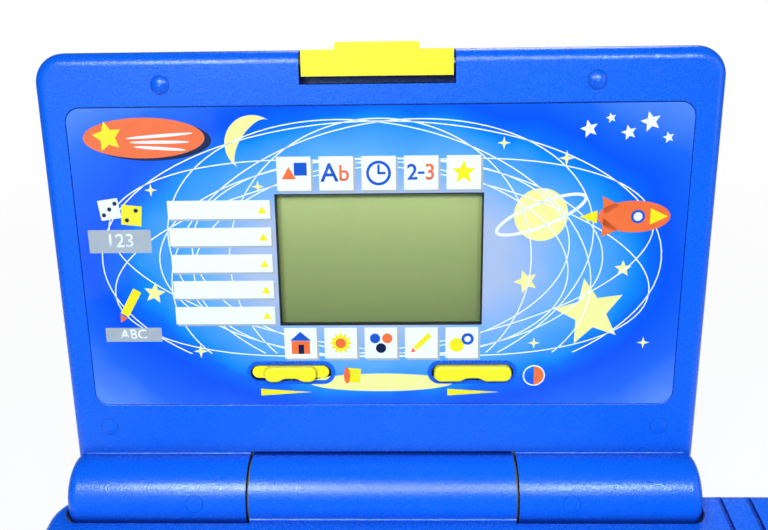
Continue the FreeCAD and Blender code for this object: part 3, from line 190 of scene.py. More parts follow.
# %% Lamps
def soft_lamp(name, place, aim, width, depth, watts, spread=180, tint="#FFFFFF"):
    bpy.ops.object.select_all(action="DESELECT")
    bpy.ops.object.light_add(type="AREA", location=place)
    lamp = bpy.context.object
    lamp.name = name
    lamp.data.shape = "ELLIPSE"
    lamp.data.size = width
    lamp.data.size_y = depth
    lamp.data.energy = watts
    lamp.data.color = linear(tint)[:3]
    lamp.data.spread = math.radians(spread)
    lamp.rotation_euler = (Vector(aim) - Vector(place)).to_track_quat("-Z", "Y").to_euler()
    print(name, watts, "W")


LID_AIM = (-0.02, 0.1, 0.16)
LEFT_BARREL, RIGHT_BARREL = (-0.1, 0.05, 0.04), (0.07, 0.05, 0.04)
LID_TOP = (-0.05, 0.1, 0.2)
COOL = "#D2EEFF"
SKY = "#B8DEFF"
# where it stands, where it aims, width and depth in metres, watts, spread in degrees, tint
soft_lamp("front_softbox", (-0.1, -0.52, 0.74), LID_AIM, 0.7, 0.4, 0.88, 75)
soft_lamp("left_strip", (-0.25, -0.34, 0.54), LEFT_BARREL, 0.16, 0.1, 0.26, 70, COOL)
soft_lamp("right_strip", (0.22, -0.34, 0.54), RIGHT_BARREL, 0.16, 0.1, 0.26, 70, COOL)
soft_lamp("left_window", (-0.5, -0.66, 0.3), LID_AIM, 0.5, 0.45, 0.18, 120, SKY)
soft_lamp("top_window", (-0.2, -0.8, 0.6), LID_TOP, 0.6, 0.2, 0.055, 30, SKY)
soft_lamp("side_fill", (0.9, -0.3, 0.5), LID_AIM, 0.8, 0.8, 1.4)
soft_lamp("rear_fill", (0.1, 1.0, 0.75), LID_AIM, 0.7, 0.7, 6.0)

# %% [markdown]
# The shells are ABS from a mould that was spark eroded, which leaves a fine even pit all over. A real pit
# is finer than the picture can show, so the grain is drawn almost a millimetre across. It breaks a lamp's
# reflection into a speckled soft band along the hinge barrels. A slow drift in the tone and a few pale
# specks are what handling leaves. The shade in the seams and gaps is painted into the colour: Ambient
# Occlusion finds where another surface is within a few millimetres, and the plastic is darkened there. The
# yellow and orange pieces come from a smoother mould, so they have a satin sheen and almost no pit.

# %% Moulded ABS
ABS_IOR = 1.53
PIT_MM = 0.8
DRIFT_MM = 55
SPECK_SPACING_MM = 11


def moulded_abs(name, colour, deep, specks, shade_colour, shade_reach_mm, roughness, relief_mm, gloss):
    material, tree, place = new_finish(name)
    grain = add(tree, "TexNoise", {"Vector": place, "Scale": 1 / (PIT_MM * MM), "Detail": 1.0})
    drift = add(tree, "TexNoise", {"Vector": place, "Scale": 1 / (DRIFT_MM * MM), "Detail": 2.0})
    tone = add(tree, "MixRGB", {"Fac": drift.outputs["Fac"], "Color1": linear(deep),
                                "Color2": linear(colour)})
    cells = add(tree, "TexVoronoi", {"Vector": place, "Scale": 1 / (SPECK_SPACING_MM * MM)})
    speck = add(tree, "MapRange", {"Value": cells.outputs["Distance"], "From Min": 0.014, "From Max": 0.022,
                                   "To Min": 0.7, "To Max": 0.0})
    worn = add(tree, "MixRGB", {"Fac": speck.outputs[0], "Color1": tone.outputs[0],
                                "Color2": linear(specks)})
    # Painted shade: the colour darkens where Ambient Occlusion finds another surface close by.
    open_sky = add(tree, "AmbientOcclusion", {"Distance": shade_reach_mm * MM}, samples=8)
    painted_shade = add(tree, "MapRange", {"Value": open_sky.outputs["AO"], "From Min": 0.35, "From Max": 0.97,
                                  "To Min": 0.9, "To Max": 0.0})
    shaded = add(tree, "MixRGB", {"Fac": painted_shade.outputs[0], "Color1": worn.outputs[0],
                                  "Color2": linear(shade_colour)})
    rough = add(tree, "MapRange", {"Value": grain.outputs["Fac"], "From Min": 0.3, "From Max": 0.7,
                                   "To Min": roughness - 0.05, "To Max": roughness + 0.07})
    pits = add(tree, "Bump", {"Height": grain.outputs["Fac"], "Strength": 1.0, "Distance": relief_mm * MM})
    show(tree, add(tree, "BsdfPrincipled", {"Base Color": shaded.outputs[0], "Roughness": rough.outputs[0],
                                            "IOR": ABS_IOR, "Specular IOR Level": gloss,
                                            "Normal": pits.outputs[0]}))
    return material


# The fourth colour of each ABS is the painted shade in its seams and gaps.
SATIN = {"shade_reach_mm": 0.8, "roughness": 0.34, "relief_mm": 0.008, "gloss": 0.4}
blue_abs = moulded_abs("abs_blue_spark_eroded", "#0068EE", "#005EE4", "#9CC3FF", "#00208C",
                       shade_reach_mm=7.0, roughness=0.26, relief_mm=0.085, gloss=0.5)
yellow_abs = moulded_abs("abs_yellow_satin", "#FFF22E", "#FCEA22", "#FFFBC0", "#8A6E0A", **SATIN)
orange_abs = moulded_abs("abs_orange_satin", "#FF7C46", "#F87038", "#FFC9AE", "#8A3010", **SATIN)
print("ABS grain", PIT_MM, "mm")

# %% [markdown]
# The faceplate is a clear polyester sheet, printed on its back. The sheet is glossy and not perfectly
# flat, so reflections wave a little. Every ink lies behind the same sheet and shares that gloss, with a
# faint mottle where the screen laid it down unevenly.

# %% Inks behind a clear sheet
SHEET_IOR = 1.57
WAVE_MM = 38
MOTTLE_MM = 4


def behind_gloss(tree, place, colour):
    wave = add(tree, "TexNoise", {"Vector": place, "Scale": 1 / (WAVE_MM * MM), "Detail": 0.0})
    waves = add(tree, "Bump", {"Height": wave.outputs["Fac"], "Strength": 0.35, "Distance": 0.25 * MM})
    show(tree, add(tree, "BsdfPrincipled", {"Base Color": colour.outputs[0], "Roughness": 0.07,
                                            "IOR": SHEET_IOR, "Normal": waves.outputs[0]}))


def printed_ink(name, colour, thin):
    material, tree, place = new_finish(name)
    mottle = add(tree, "TexNoise", {"Vector": place, "Scale": 1 / (MOTTLE_MM * MM), "Detail": 2.0})
    tone = add(tree, "MixRGB", {"Fac": mottle.outputs["Fac"], "Color1": linear(colour),
                                "Color2": linear(thin)})
    behind_gloss(tree, place, tone)
    return material


INKS = {
    "white": printed_ink("ink_white", "#FBFCFC", "#F2F5F8"),
    "pale": printed_ink("ink_pale_yellow", "#FFF8A3", "#FAF08C"),
    "yellow": printed_ink("ink_yellow", "#FFEF2E", "#F8E31C"),
    "orange": printed_ink("ink_orange", "#FF7A45", "#F56A34"),
    "blue": printed_ink("ink_blue", "#1F5FD0", "#174FBA"),
    "grey": printed_ink("ink_grey", "#B4B9BE", "#A8AEB4"),
    "dark": printed_ink("ink_dark", "#14204E", "#101A40"),
}
print(len(INKS), "inks")

# %% [markdown]
# The ground of the picture is a royal blue that lightens to a grey lilac around the display, like a
# nebula, and a little lighter again to the corners, which is a painted reflection. A spherical gradient,
# stretched to an oval round the display's middle, gives the glow, and noise with features of about 30 mm
# stirs it. A Mapping node in texture mode does the stretching.

# %% Ground of the picture
GLOW_MIDDLE = lid_plane @ Vector((0, 101, SHEET))
GLOW_SIZE = Vector((162, 90, 1300)) * MM
STIR_MM = 34
STIR_DEPTH = 0.035
# The paler blue of the first stops, at the far corners, is a painted reflection.
NEBULA_AND_CORNER_REFLECTION = ((0.02, "#5A8CF6"), (0.16, "#1B66F0"), (0.29, "#0352EA"), (0.36, "#0568F4"), (0.4, "#1188F7"),
          (0.53, "#62A8F2"), (0.69, "#AEBBDA"))
printed_sheet, tree, place = new_finish("pet_sheet_back_printed")
glow_place = add(tree, "Mapping", {"Vector": place, "Location": GLOW_MIDDLE,
                                   "Rotation": lid_turn.to_euler(), "Scale": GLOW_SIZE},
                 vector_type="TEXTURE")
stir = add(tree, "TexNoise", {"Vector": place, "Scale": 1 / (STIR_MM * MM), "Detail": 2.0})
ball = add(tree, "TexGradient", {"Vector": glow_place.outputs[0]}, gradient_type="SPHERICAL")
stirred = add(tree, "MapRange", {"Value": stir.outputs["Fac"], "From Min": 0.3, "From Max": 0.7,
                                 "To Min": -STIR_DEPTH, "To Max": STIR_DEPTH})
depth = add(tree, "Math", {0: ball.outputs["Fac"], 1: stirred.outputs[0]}, operation="ADD")
picture = add(tree, "ValToRGB", {"Fac": depth.outputs[0]}, stops=NEBULA_AND_CORNER_REFLECTION)
behind_gloss(tree, place, picture)
print(len(NEBULA_AND_CORNER_REFLECTION), "tones in the ground")

# %% [markdown]
# A toy's display is a reflective liquid-crystal cell: grey-green, with a brushed reflector behind it. Its
# colour is painted darker towards its lower edge, a painted shade, and paler towards its top, a painted
# reflection. The real streaks are too fine to show, so they are drawn about a third of a millimetre wide.
# Its window is a thin tinted acrylic sheet. Plain transparency keeps the light that passes straight, so
# the display stays lit, while a polished surface still mirrors the studio.

# %% Display and window
DISPLAY_LOW, DISPLAY_HIGH = 73.9, 128.0
STREAK_WIDTH_MM, STREAK_LENGTH_MM = 0.35, 14
SMEAR_MM = 18
display_glass, tree, place = new_finish("lcd_reflective_cell")
upright = lid_turn @ Matrix.Rotation(math.pi / 2, 3, "Z")
shade_rise = add(tree, "Mapping", {"Vector": place, "Location": lid_plane @ Vector((0, DISPLAY_LOW, 0)),
                             "Rotation": upright.to_euler(),
                             "Scale": Vector((1, 1, 1)) * (DISPLAY_HIGH - DISPLAY_LOW) * MM},
           vector_type="TEXTURE")
height = add(tree, "TexGradient", {"Vector": shade_rise.outputs[0]}, gradient_type="LINEAR")
per_streak = [1 / (size * MM) for size in (STREAK_WIDTH_MM, STREAK_LENGTH_MM, STREAK_LENGTH_MM)]
stretch = add(tree, "Mapping", {"Vector": place, "Scale": per_streak})
brushed = add(tree, "TexNoise", {"Vector": stretch.outputs[0], "Scale": 1.0, "Detail": 2.0})
streaks = add(tree, "MapRange", {"Value": brushed.outputs["Fac"], "To Min": -0.06, "To Max": 0.06})
tone = add(tree, "Math", {0: height.outputs["Fac"], 1: streaks.outputs[0]}, operation="ADD")
# The display's colour runs from a painted shade at its lower edge to a painted reflection at its top.
shaded_green = add(tree, "ValToRGB", {"Fac": tone.outputs[0]},
            stops=((0.0, "#8F9E61"), (0.55, "#B2BF76"), (1.0, "#D5DF90")))
show(tree, add(tree, "BsdfPrincipled", {"Base Color": shaded_green.outputs[0], "Roughness": 0.3, "IOR": 1.5}))

clear_window, tree, place = new_finish("acrylic_tinted_window")
smear = add(tree, "TexNoise", {"Vector": place, "Scale": 1 / (SMEAR_MM * MM), "Detail": 3.0})
haze = add(tree, "MapRange", {"Value": smear.outputs["Fac"], "To Min": 0.03, "To Max": 0.12})
show(tree, add(tree, "BsdfPrincipled", {"Base Color": linear("#3A4230"), "Roughness": haze.outputs[0],
                                        "IOR": 1.49, "Alpha": 0.12}))
print("display", round(DISPLAY_HIGH - DISPLAY_LOW, 1), "mm high")

# %% [markdown]
# What is inside shows only through the grille, under the battery door and from below, yet each piece keeps
# its own finish. The brown paper laminate is dull and flecked. Zinc and nickel plating are bright, with a
# soft bloom. Rubber and silicone are matt, and the shrunk sleeves have a low sheen. One function serves
# them all, with a grain that is drawn coarse enough to show. The washers are yellow acetal painted a dark
# olive, a painted shade, so that they show as dark lines in the gaps beside the centre barrel.

# %% Finishes of the inner pieces
def plain_finish(name, colour, other, grain_mm, roughness, metallic=0.0):
    material, tree, place = new_finish(name)
    grain = add(tree, "TexNoise", {"Vector": place, "Scale": 1 / (grain_mm * MM), "Detail": 3.0})
    tone = add(tree, "MixRGB", {"Fac": grain.outputs["Fac"], "Color1": linear(colour),
                                "Color2": linear(other)})
    rough = add(tree, "MapRange", {"Value": grain.outputs["Fac"], "To Min": roughness - 0.08,
                                   "To Max": roughness + 0.08})
    relief = add(tree, "Bump", {"Height": grain.outputs["Fac"], "Strength": 0.6, "Distance": 0.01 * MM})
    show(tree, add(tree, "BsdfPrincipled", {"Base Color": tone.outputs[0], "Roughness": rough.outputs[0],
                                            "Metallic": metallic, "Normal": relief.outputs[0]}))
    return material


FINISHES = {
    "blue_abs": blue_abs,
    "yellow_abs": yellow_abs,
    "orange_abs": orange_abs,
    "printed_sheet": printed_sheet,
    "clear_window": clear_window,
    "display_glass": display_glass,
    "circuit_board": plain_finish("phenolic_paper_laminate", "#B98F4E", "#A67C3E", 2.5, 0.55),
    "steel": plain_finish("steel_zinc_plated", "#C9CCD0", "#B4B8BE", 1.2, 0.32, 1.0),
    "silicone": plain_finish("silicone_translucent_grey", "#C9CAC8", "#BDBFBC", 3.0, 0.5),
    "black_rubber": plain_finish("rubber_black_moulded", "#1D1D1E", "#29292A", 0.7, 0.7),
    "cell_sleeve": plain_finish("pvc_sleeve_shrunk", "#23262B", "#2E3238", 4.0, 0.35),
    "nickel": plain_finish("nickel_plated_strip", "#D8D3C8", "#C9C3B6", 1.0, 0.25, 1.0),
    "speaker_frame": plain_finish("speaker_black_coated", "#1B1B1D", "#262629", 0.6, 0.6),
    "cable_sleeve": plain_finish("pvc_grey_sleeve", "#A9ACAE", "#9A9DA0", 1.5, 0.45),
}
for part in frame["record"]["subparts"]:
    node = frame["nodes"][part["node"]]
    node.data.materials.clear()
    node.data.materials.append(FINISHES[part["material_slot"]])
washers = frame["nodes"]["hinge_washers"]
# The washers' dark olive is painted shade, for the gaps they sit in.
washers.data.materials[0] = plain_finish("acetal_yellow_painted_shade", "#9C8F22", "#6E6518", 2.0, 0.4)
print(len(frame["nodes"]), "nodes dressed in", len(FINISHES) + 1, "finishes")

# %% [markdown]
# Flat things are drawn as on paper, in millimetres. A plane or a circle is the start. Drawing in every
# second corner makes a star, folding one half back makes a crescent, an inset with its middle deleted
# makes a ring, and a bisect leaves an arc of it. The inset comes after the scaling, so that a ring's line
# keeps its width all round.

# %% Flat shapes
MIDLINE = 0.001  # what lies further out than this is on one side of a shape's middle


def pick(shape, wanted):
    bpy.ops.object.mode_set(mode="EDIT")
    bpy.ops.mesh.select_mode(type="VERT")
    bpy.ops.mesh.select_all(action="DESELECT")
    bpy.ops.object.mode_set(mode="OBJECT")
    for vertex in shape.data.vertices:
        vertex.select = wanted(vertex)
    bpy.ops.object.mode_set(mode="EDIT")


def hollowed(line):
    bpy.ops.object.mode_set(mode="EDIT")
    bpy.ops.mesh.select_all(action="SELECT")
    bpy.ops.mesh.inset(thickness=line, depth=0)
    bpy.ops.mesh.delete(type="FACE")
    bpy.ops.object.mode_set(mode="OBJECT")


def drawn(corners, x, y, width, height, turn=0.0, waist=1.0, fold=1.0, line=0.0, cut=None):
    bpy.ops.object.select_all(action="DESELECT")
    if corners == 4:
        bpy.ops.mesh.primitive_plane_add(size=1)
    else:
        bpy.ops.mesh.primitive_circle_add(vertices=corners, radius=0.5, fill_type="NGON")
    shape = bpy.context.object
    if waist < 1:
        pick(shape, lambda vertex: vertex.index % 2 == 1)
        bpy.ops.transform.resize(value=(waist, waist, 1), center_override=(0, 0, 0))
        bpy.ops.object.mode_set(mode="OBJECT")
    if fold < 1:
        pick(shape, lambda vertex: vertex.co.x > MIDLINE)
        bpy.ops.transform.resize(value=(fold, 1, 1), center_override=(0, 0, 0))
        bpy.ops.object.mode_set(mode="OBJECT")
    shape.scale = (width, height, 1)
    shape.rotation_euler.z = math.radians(turn)
    shape.location = (x, y, 0)
    bpy.ops.object.transform_apply(location=True, rotation=True, scale=True)
    if line:
        hollowed(line)
    if cut:
        point, kept_side = cut
        bpy.ops.object.mode_set(mode="EDIT")
        bpy.ops.mesh.select_all(action="SELECT")
        bpy.ops.mesh.bisect(plane_co=(*point, 0), plane_no=(*kept_side, 0), clear_inner=True)
        bpy.ops.object.mode_set(mode="OBJECT")
    return shape


# %% [markdown]
# A picture is quicker to read when its shapes have names. Four short functions give the number of corners
# that each of them needs.

# %% Shapes by name
def oblong(x, y, width, height, turn=0.0, line=0.0):
    return drawn(4, x, y, width, height, turn, line=line)


def wedge(x, y, width, height, turn=0.0):
    return drawn(3, x, y, width, height, turn)


def disc(x, y, width, height, turn=0.0, corners=48, **form):
    return drawn(corners, x, y, width, height, turn, **form)


def star(x, y, size, turn=0.0, tips=5, waist=0.45):
    return drawn(2 * tips, x, y, size, size, turn, waist=waist)


# %% [markdown]
# Letters are text objects turned into meshes, a little fattened, as a child's toy has them. The notches of
# an M close under that, so the letters of the keys stay slim.

# %% Letters
CAPITAL = 0.7  # a capital's height as a share of the font's size
SAME_POINT = 0.001


def lettered(text, x, y, height, fat=0.015):
    bpy.ops.object.select_all(action="DESELECT")
    bpy.ops.object.text_add()
    letters = bpy.context.object
    letters.data.body = text
    letters.data.align_x = "CENTER"
    letters.data.align_y = "CENTER"
    letters.data.offset = fat
    bpy.ops.object.convert(target="MESH")
    letters = bpy.context.object
    letters.scale = (height / CAPITAL, height / CAPITAL, 1)
    letters.location = (x, y, 0)
    bpy.ops.object.transform_apply(location=True, rotation=True, scale=True)
    bpy.ops.object.mode_set(mode="EDIT")
    bpy.ops.mesh.select_all(action="SELECT")
    bpy.ops.mesh.remove_doubles(threshold=SAME_POINT)
    bpy.ops.object.mode_set(mode="OBJECT")
    return letters


# %% [markdown]
# Ink and trim are thin solids. The flat shapes of one colour are joined, the matrix of the plane that they
# lie on carries them to the toy, and Solidify gives them their thickness. Then they ride on the body under
# them. Inks that cross lie in layers of their own, so that no two of them share a face.

# %% From flat shapes to thin solids
INK_SINK = 0.02
INK_STEP = 0.02


def joined(name, shapes):
    bpy.ops.object.select_all(action="DESELECT")
    for shape in shapes:
        shape.select_set(True)
    bpy.context.view_layer.objects.active = shapes[0]
    if len(shapes) > 1:
        bpy.ops.object.join()
    piece = bpy.context.object
    piece.name = name
    piece.data.name = name
    return piece


def laid(piece, plane, height):
    piece.matrix_world = plane @ Matrix.Translation((0, 0, height))
    bpy.ops.object.transform_apply(location=True, rotation=True, scale=True)


def thickened(piece, downwards_mm):
    thickness = piece.modifiers.new("thickness", "SOLIDIFY")
    thickness.thickness = downwards_mm * MM
    thickness.offset = -1.0
    bpy.ops.object.modifier_apply(modifier=thickness.name)


def dressed(piece, finish, body):
    piece.data.materials.clear()
    piece.data.materials.append(finish)
    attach(piece, body)
    print(piece.name, len(piece.data.polygons), "faces, rides on", body)


def thin_solid(name, shapes, low, high, finish):
    piece = joined(name, shapes)
    laid(piece, lid_plane, high)
    thickened(piece, high - low)
    dressed(piece, finish, "lid")


def print_ink(name, ink, layer, shapes):
    top = SHEET + (layer + 0.5) * INK_STEP
    thin_solid("print_" + name, shapes, SHEET - INK_SINK, top, INKS[ink])


# %% [markdown]
# The blue bezel lines each rocker's slot with a narrow collar that laps over the sheet. A collar is a
# stadium: a circle whose halves are pulled apart. Its ring is an inset, and its flange a second, wider
# ring on top.

# %% Slot collars
SLOT_MIDDLES = {"volume": -37.3, "contrast": 37.3}
SLOT_HEIGHT = 53.5
COLLAR_LENGTH, COLLAR_HEIGHT, COLLAR_WALL = 34.9, 8.5, 0.75
COLLAR_LOW, COLLAR_HIGH = -3.4, -0.5
FLANGE_LENGTH, FLANGE_HEIGHT, FLANGE_WALL = 36.6, 10.0, 1.6
FLANGE_LIFT = 0.02  # air under the flange
FLANGE_LOW, FLANGE_HIGH = SHEET + FLANGE_LIFT, -0.45


def stadium(x, y, length, height, wall):
    bpy.ops.object.select_all(action="DESELECT")
    bpy.ops.mesh.primitive_circle_add(vertices=64, radius=height / 2, fill_type="NGON")
    shape = bpy.context.object
    for side in (-1, 1):
        pick(shape, lambda vertex: vertex.co.x * side > MIDLINE)
        bpy.ops.transform.translate(value=(side * (length - height) / 2, 0, 0))
        bpy.ops.object.mode_set(mode="OBJECT")
    hollowed(wall)
    shape.location = (x, y, 0)
    bpy.ops.object.transform_apply(location=True, rotation=False, scale=False)
    return shape


for name, x in SLOT_MIDDLES.items():
    collar = stadium(x, SLOT_HEIGHT, COLLAR_LENGTH, COLLAR_HEIGHT, COLLAR_WALL)
    thin_solid(name + "_slot_collar", [collar], COLLAR_LOW, COLLAR_HIGH, blue_abs)
    flange = stadium(x, SLOT_HEIGHT, FLANGE_LENGTH, FLANGE_HEIGHT, FLANGE_WALL)
    thin_solid(name + "_slot_flange", [flange], FLANGE_LOW, FLANGE_HIGH, blue_abs)

# %% [markdown]
# A mask of dull black ABS frames the display and hides the edge of its glass. Its black also paints the
# shade that falls in the display's recess. It is a rectangle with its middle taken out, and it fits the
# opening with a hair's play.

# %% The display's mask
DISPLAY_WIDTH = 81.6
MASK_PLAY = 0.06
MASK_WALL = 0.5
MASK_LOW, MASK_HIGH = -3.58, -1.0
# The mask's black is partly painted shade for the display's recess.
black_mask_and_shade = plain_finish("abs_black_mask", "#0E100E", "#171917", 1.0, 0.5)
display_middle = (DISPLAY_LOW + DISPLAY_HIGH) / 2
mask = oblong(0, display_middle, DISPLAY_WIDTH - MASK_PLAY, DISPLAY_HIGH - DISPLAY_LOW - MASK_PLAY,
              line=MASK_WALL)
thin_solid("display_mask", [mask], MASK_LOW, MASK_HIGH, black_mask_and_shade)

# %% [markdown]
# No light comes through the gap over the centre barrel, because the lid's foot ends in a lip that hangs
# down behind it. A flat bar with a thickness is enough. It keeps further from the hinge axis than the
# barrel's radius, so it passes round the barrel when the lid closes.

# %% Lip behind the centre barrel
LIP_WIDTH, LIP_LOW, LIP_HIGH = 111.6, 13.2, 17.8
LIP_BACK, LIP_FRONT = -13.2, -12.0
lip = oblong(0, (LIP_LOW + LIP_HIGH) / 2, LIP_WIDTH, LIP_HIGH - LIP_LOW)
thin_solid("hinge_gap_lip", [lip], LIP_BACK, LIP_FRONT, blue_abs)
print("lip", round(math.hypot(LIP_LOW, LIP_FRONT), 1), "mm from the hinge axis")

# %% [markdown]
# The picture has a space theme. First come the large pale shapes and the thin white orbits, which run
# behind everything else: a crescent moon, a ringed planet, stars, and a bank of light at the lower edge.
# An orbit is an oval ring, and the tallest ones end behind the lower tiles.

# %% Print: sky
ORBIT_MIDDLE = (0, 101)
ORBIT_FOOT = 62
LINE = 0.45
PLANET = (63, 119)
orbits = []
for width, height, turn in ((216, 76, 8), (216, 76, -8), (176, 82, 0), (150, 80, 6), (150, 80, -6)):
    orbits.append(disc(*ORBIT_MIDDLE, width, height, turn, 96, line=LINE))
for width, height, turn in ((222, 110, 0), (120, 112, 0), (170, 108, 12), (170, 108, -12)):
    orbits.append(disc(*ORBIT_MIDDLE, width, height, turn, 96, line=LINE, cut=((0, ORBIT_FOOT), (0, 1))))
orbits.append(disc(*PLANET, 38, 10.5, 22, 64, line=1.2))
print_ink("orbits", "white", 2, orbits)

moon = disc(-48, 147.5, 22, 22, -35, 64, fold=-0.45)
sky = [moon, disc(*PLANET, 21, 21)]
for x, y, size, turn in ((84, 79, 29, 12), (-91, 88, 9, -10), (58, 92, 10, 20), (96, 97, 7, 0)):
    sky.append(star(x, y, size, turn))
sky.append(disc(0, 49, 59, 7.8, corners=64))
for x, y, size in ((-89, 130, 5), (-47, 131, 5), (48, 147, 5), (72, 141, 6), (106, 66, 5), (62, 66, 5),
                   (-74, 63, 6)):
    sky.append(star(x, y, size, tips=4, waist=0.3))
print_ink("sky", "pale", 1, sky)

# %% [markdown]
# Over the sky lie the fields that a child chooses from: two rows of white tiles above and below the
# display and five white answer bars at its left, each with a grey shadow. Two grey plates at the far left
# carry numbers and letters.

# %% Print: tiles, bars and plates
TILE = 13.2
TILE_PITCH = 16.4
TILE_SHADOW = 0.9
TILE_ROWS = {"top": 135.9, "bottom": 66.3}
BAR_X, BAR_LOW, BAR_PITCH = -62.9, 78.4, 10.9
BAR_WIDTH, BAR_HEIGHT = 40.3, 7.3
BAR_SHADOW = 0.8
NUMBER_PLATE, LETTER_PLATE = (-103, 109.5), (-101, 70.3)
tile_x = [TILE_PITCH * (i - 2) for i in range(5)]
bar_y = [BAR_LOW + BAR_PITCH * i for i in range(5)]
tiles = [oblong(x, y, TILE, TILE) for y in TILE_ROWS.values() for x in tile_x]
bars = [oblong(BAR_X, y, BAR_WIDTH, BAR_HEIGHT) for y in bar_y]
shadows = [oblong(x + TILE_SHADOW, y - TILE_SHADOW, TILE, TILE) for y in TILE_ROWS.values() for x in tile_x]
shadows += [oblong(BAR_X + BAR_SHADOW, y - BAR_SHADOW, BAR_WIDTH, BAR_HEIGHT) for y in bar_y]
plates = [oblong(*NUMBER_PLATE, 25, 9.4), oblong(*LETTER_PLATE, 23, 6)]
print_ink("shadows", "grey", 3, shadows + plates)
print_ink("tiles", "white", 4, tiles + bars)

# %% [markdown]
# Small icons fill the tiles and the corners, one screen for each colour: shapes, letters and numbers to
# learn, a house, a sun, a clock, a rocket and a comet. The marks beside the rockers say louder and darker.

# %% Print: orange and yellow icons
BADGE_SIZE = (47, 15.5)
ROCKET_Y = 118
FIN_RISE = 4.5
CONTRAST_SIGN = (62.5, 51.9)
HORN_Y = 52.2
BALL = 4.2  # each of three balls on the middle tile
top, bottom = TILE_ROWS["top"], TILE_ROWS["bottom"]
print_ink("badge_shadow", "dark", 3, [disc(-87.5, 149.2, *BADGE_SIZE, corners=64)])
badge = disc(-90, 150.2, *BADGE_SIZE, corners=64)
rocket = [disc(99, ROCKET_Y, 28, 12.5), wedge(89, ROCKET_Y + FIN_RISE, 8, 9, 35),
          wedge(89, ROCKET_Y - FIN_RISE, 8, 9, 25)]
print_ink("grounds", "orange", 4, [badge] + rocket)

yellow = [
    star(tile_x[1], bottom, 10, tips=12, waist=0.62),  # sun
    oblong(tile_x[3] + 0.5, bottom + 0.5, 8.5, 2.2, 45),  # pencil on a tile
    star(tile_x[4], top, 10, waist=0.42),  # star on a tile
    disc(tile_x[4] - 2, bottom - 1, 6, 6),  # ball on a tile
    wedge(34.2, 44.6, 3.4, 28.2, -90),  # scale under the contrast
    wedge(-43, 44.8, 3.4, 28.2, -90),  # scale under the volume
    wedge(107.5, ROCKET_Y, 7.5, 9, -90),  # nose of the rocket
    wedge(82.5, ROCKET_Y, 6, 9, 90),  # flame of the rocket
    oblong(-97.5, 120, 8, 8, -6),  # right die
    oblong(-101, 84, 3.6, 12, -30),  # pencil over its plate
    star(-104, 150.8, 12, 10, waist=0.5),  # head of the comet
    oblong(-11.4, HORN_Y, 5.6, 6.2, -5),  # horn beside the volume
]
yellow += [wedge(BAR_X + 17, y - 0.6, 4.2, 4.2) for y in bar_y]  # pointers on the bars
print_ink("yellow", "yellow", 5, yellow)

orange = [
    wedge(tile_x[0] - 2, top - 0.5, 6.5, 6.5),  # triangle to learn
    oblong(tile_x[0], bottom - 1.8, 7.5, 5.6),  # wall of the house
    disc(tile_x[1], bottom, 4.2, 4.2),  # middle of the sun
    disc(tile_x[2] + 2.6, bottom + 2, BALL, BALL),
    disc(-14.2, HORN_Y, 2.6, 7.2),  # mouth of the horn
    disc(*CONTRAST_SIGN, 8, 8, cut=((CONTRAST_SIGN[0], 0), (1, 0))),
    lettered("b", tile_x[1] + 3, top - 0.2, 6),
    lettered("3", tile_x[3] + 3.4, top, 6),
    wedge(tile_x[3] - 3.3, bottom - 3.3, 2.6, 2.6, 135),  # points of the two pencils
    wedge(-104.8, 77.4, 3.8, 4, 150),
]
print_ink("orange", "orange", 6, orange)

# %% [markdown]
# The blue, white and dark screens come last, because they draw the fine marks: a clock's hands, a
# porthole, the pips of two dice, the tail of the comet and the signs on the plates.

# %% Print: blue, white and dark marks
PORTHOLE = (100.5, ROCKET_Y)
PIP = 1.7
blue = [
    oblong(tile_x[0] + 2.6, top + 1.8, 5, 5),  # square to learn
    wedge(tile_x[0], bottom + 2.4, 10, 5.2),  # roof of the house
    disc(tile_x[2], top, 9.6, 9.6, line=1.1),  # rim of the clock
    oblong(tile_x[2], top + 1.5, 0.9, 3.6),  # its hands
    oblong(tile_x[2] + 1.2, top, 3, 0.9),
    disc(tile_x[2] - 2.4, bottom + 2, BALL, BALL),
    disc(tile_x[4] + 2.4, bottom + 1.6, 5, 5, line=1.2),  # ring beside the yellow ball
    disc(*PORTHOLE, 5.4, 5.4),
    lettered("A", tile_x[1] - 2.6, top, 7),
    lettered("2", tile_x[3] - 3.4, top, 6),
    oblong(tile_x[3], top, 2.6, 0.9),  # dash between the numbers
]
print_ink("blue", "blue", 7, blue)

white_marks = [
    lettered("123", *NUMBER_PLATE, 5.4),
    lettered("ABC", *LETTER_PLATE, 4),
    oblong(-106, 122.5, 8, 8, 8),  # left die
    disc(*CONTRAST_SIGN, 9, 9, line=0.5),
    disc(*PORTHOLE, 3.4, 3.4),
]
white_marks += [disc(-84, 151 - 2.4 * i, 26 - 3 * i, 1.2, 4 - 4 * i) for i in range(3)]  # tail
for x, y, size in ((80, 152, 7), (88, 156, 4), (95, 150.5, 6), (103, 154.5, 8), (110, 148.5, 4.5)):
    white_marks.append(star(x, y, size, 15))
print_ink("white_marks", "white", 8, white_marks)

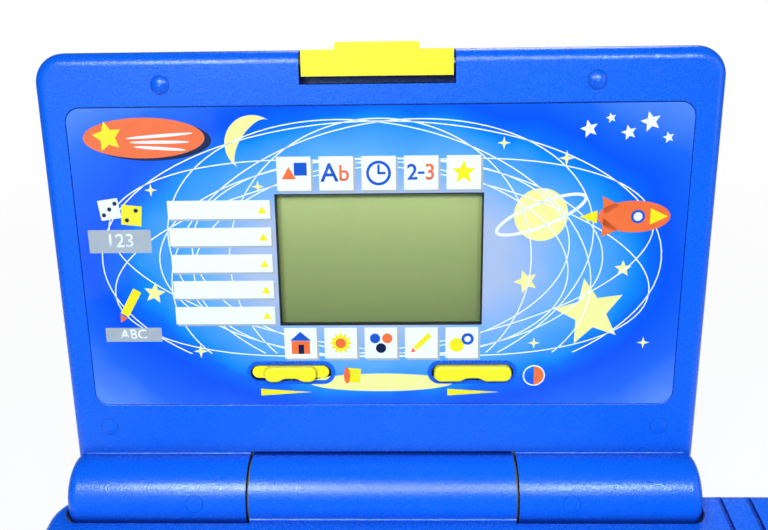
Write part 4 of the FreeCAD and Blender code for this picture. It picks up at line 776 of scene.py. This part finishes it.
dark = [disc(-99.4 + 3.8 * i, 118.1 + 3.8 * i, PIP, PIP) for i in range(2)]
dark += [disc(-108.3 + 2.3 * i, 120.2 + 2.3 * i, PIP, PIP) for i in range(3)]
dark += [oblong(tile_x[0] + 0.2, bottom - 2.6, 2.2, 4), disc(tile_x[2], bottom - 2.2, BALL, BALL)]
print_ink("dark", "dark", 9, dark)

# %% [markdown]
# The keys carry printed letters. A key's top is hollow from side to side, so a letter is first cut into
# strips a millimetre wide, and Shrinkwrap then lays it down on that key's own mesh, as a pad printer's
# soft pad does. It rides on the key's body and goes down with it. The return key has an arrow, and the two
# round buttons say what they switch.

# %% Key letters
LETTER_HEIGHT = 7.5
LETTER_RISE = 0.05
LETTER_DEPTH = 0.25
LETTER_START = 1.0  # above the key, before the letter is laid down
STRIP_EDGES = range(-5, 6)


def legend(node, shapes):
    piece = joined(node + "_legend", shapes)
    bpy.ops.object.mode_set(mode="EDIT")
    for edge in STRIP_EDGES:
        bpy.ops.mesh.select_all(action="SELECT")
        bpy.ops.mesh.bisect(plane_co=(edge, 0, 0), plane_no=(1, 0, 0))
    bpy.ops.object.mode_set(mode="OBJECT")
    low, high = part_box(node)
    middle = Vector(((low[0] + high[0]) / 2, (low[1] + high[1]) / 2, high[2]))
    laid(piece, Matrix.Translation(middle) @ Matrix.Scale(MM, 4), LETTER_START)
    wrap = piece.modifiers.new("wrap", "SHRINKWRAP")
    wrap.target = frame["nodes"][node]
    wrap.wrap_method = "PROJECT"
    wrap.use_project_z = True
    wrap.use_positive_direction = False
    wrap.use_negative_direction = True
    wrap.offset = LETTER_RISE * MM
    bpy.ops.object.modifier_apply(modifier=wrap.name)
    thickened(piece, LETTER_DEPTH)
    dressed(piece, INKS["blue"], node)


letter_keys = [name for name in frame["nodes"] if name.startswith("key_") and len(name) == len("key_q")]
for name in letter_keys:
    legend(name, [lettered(name[-1].upper(), 0, 0, LETTER_HEIGHT, fat=0.0)])
arrow = [oblong(0.7, -1.2, 5.4, 1.6), oblong(4.2, 0.8, 1.6, 5.6), wedge(-3.25, -1.2, 5.6, 5, 90)]
legend("key_enter", arrow)
legend("power_on", [lettered("ON", 0, 0, 3.6)])
legend("power_off", [lettered("OFF", 0, 0, 3.2)])
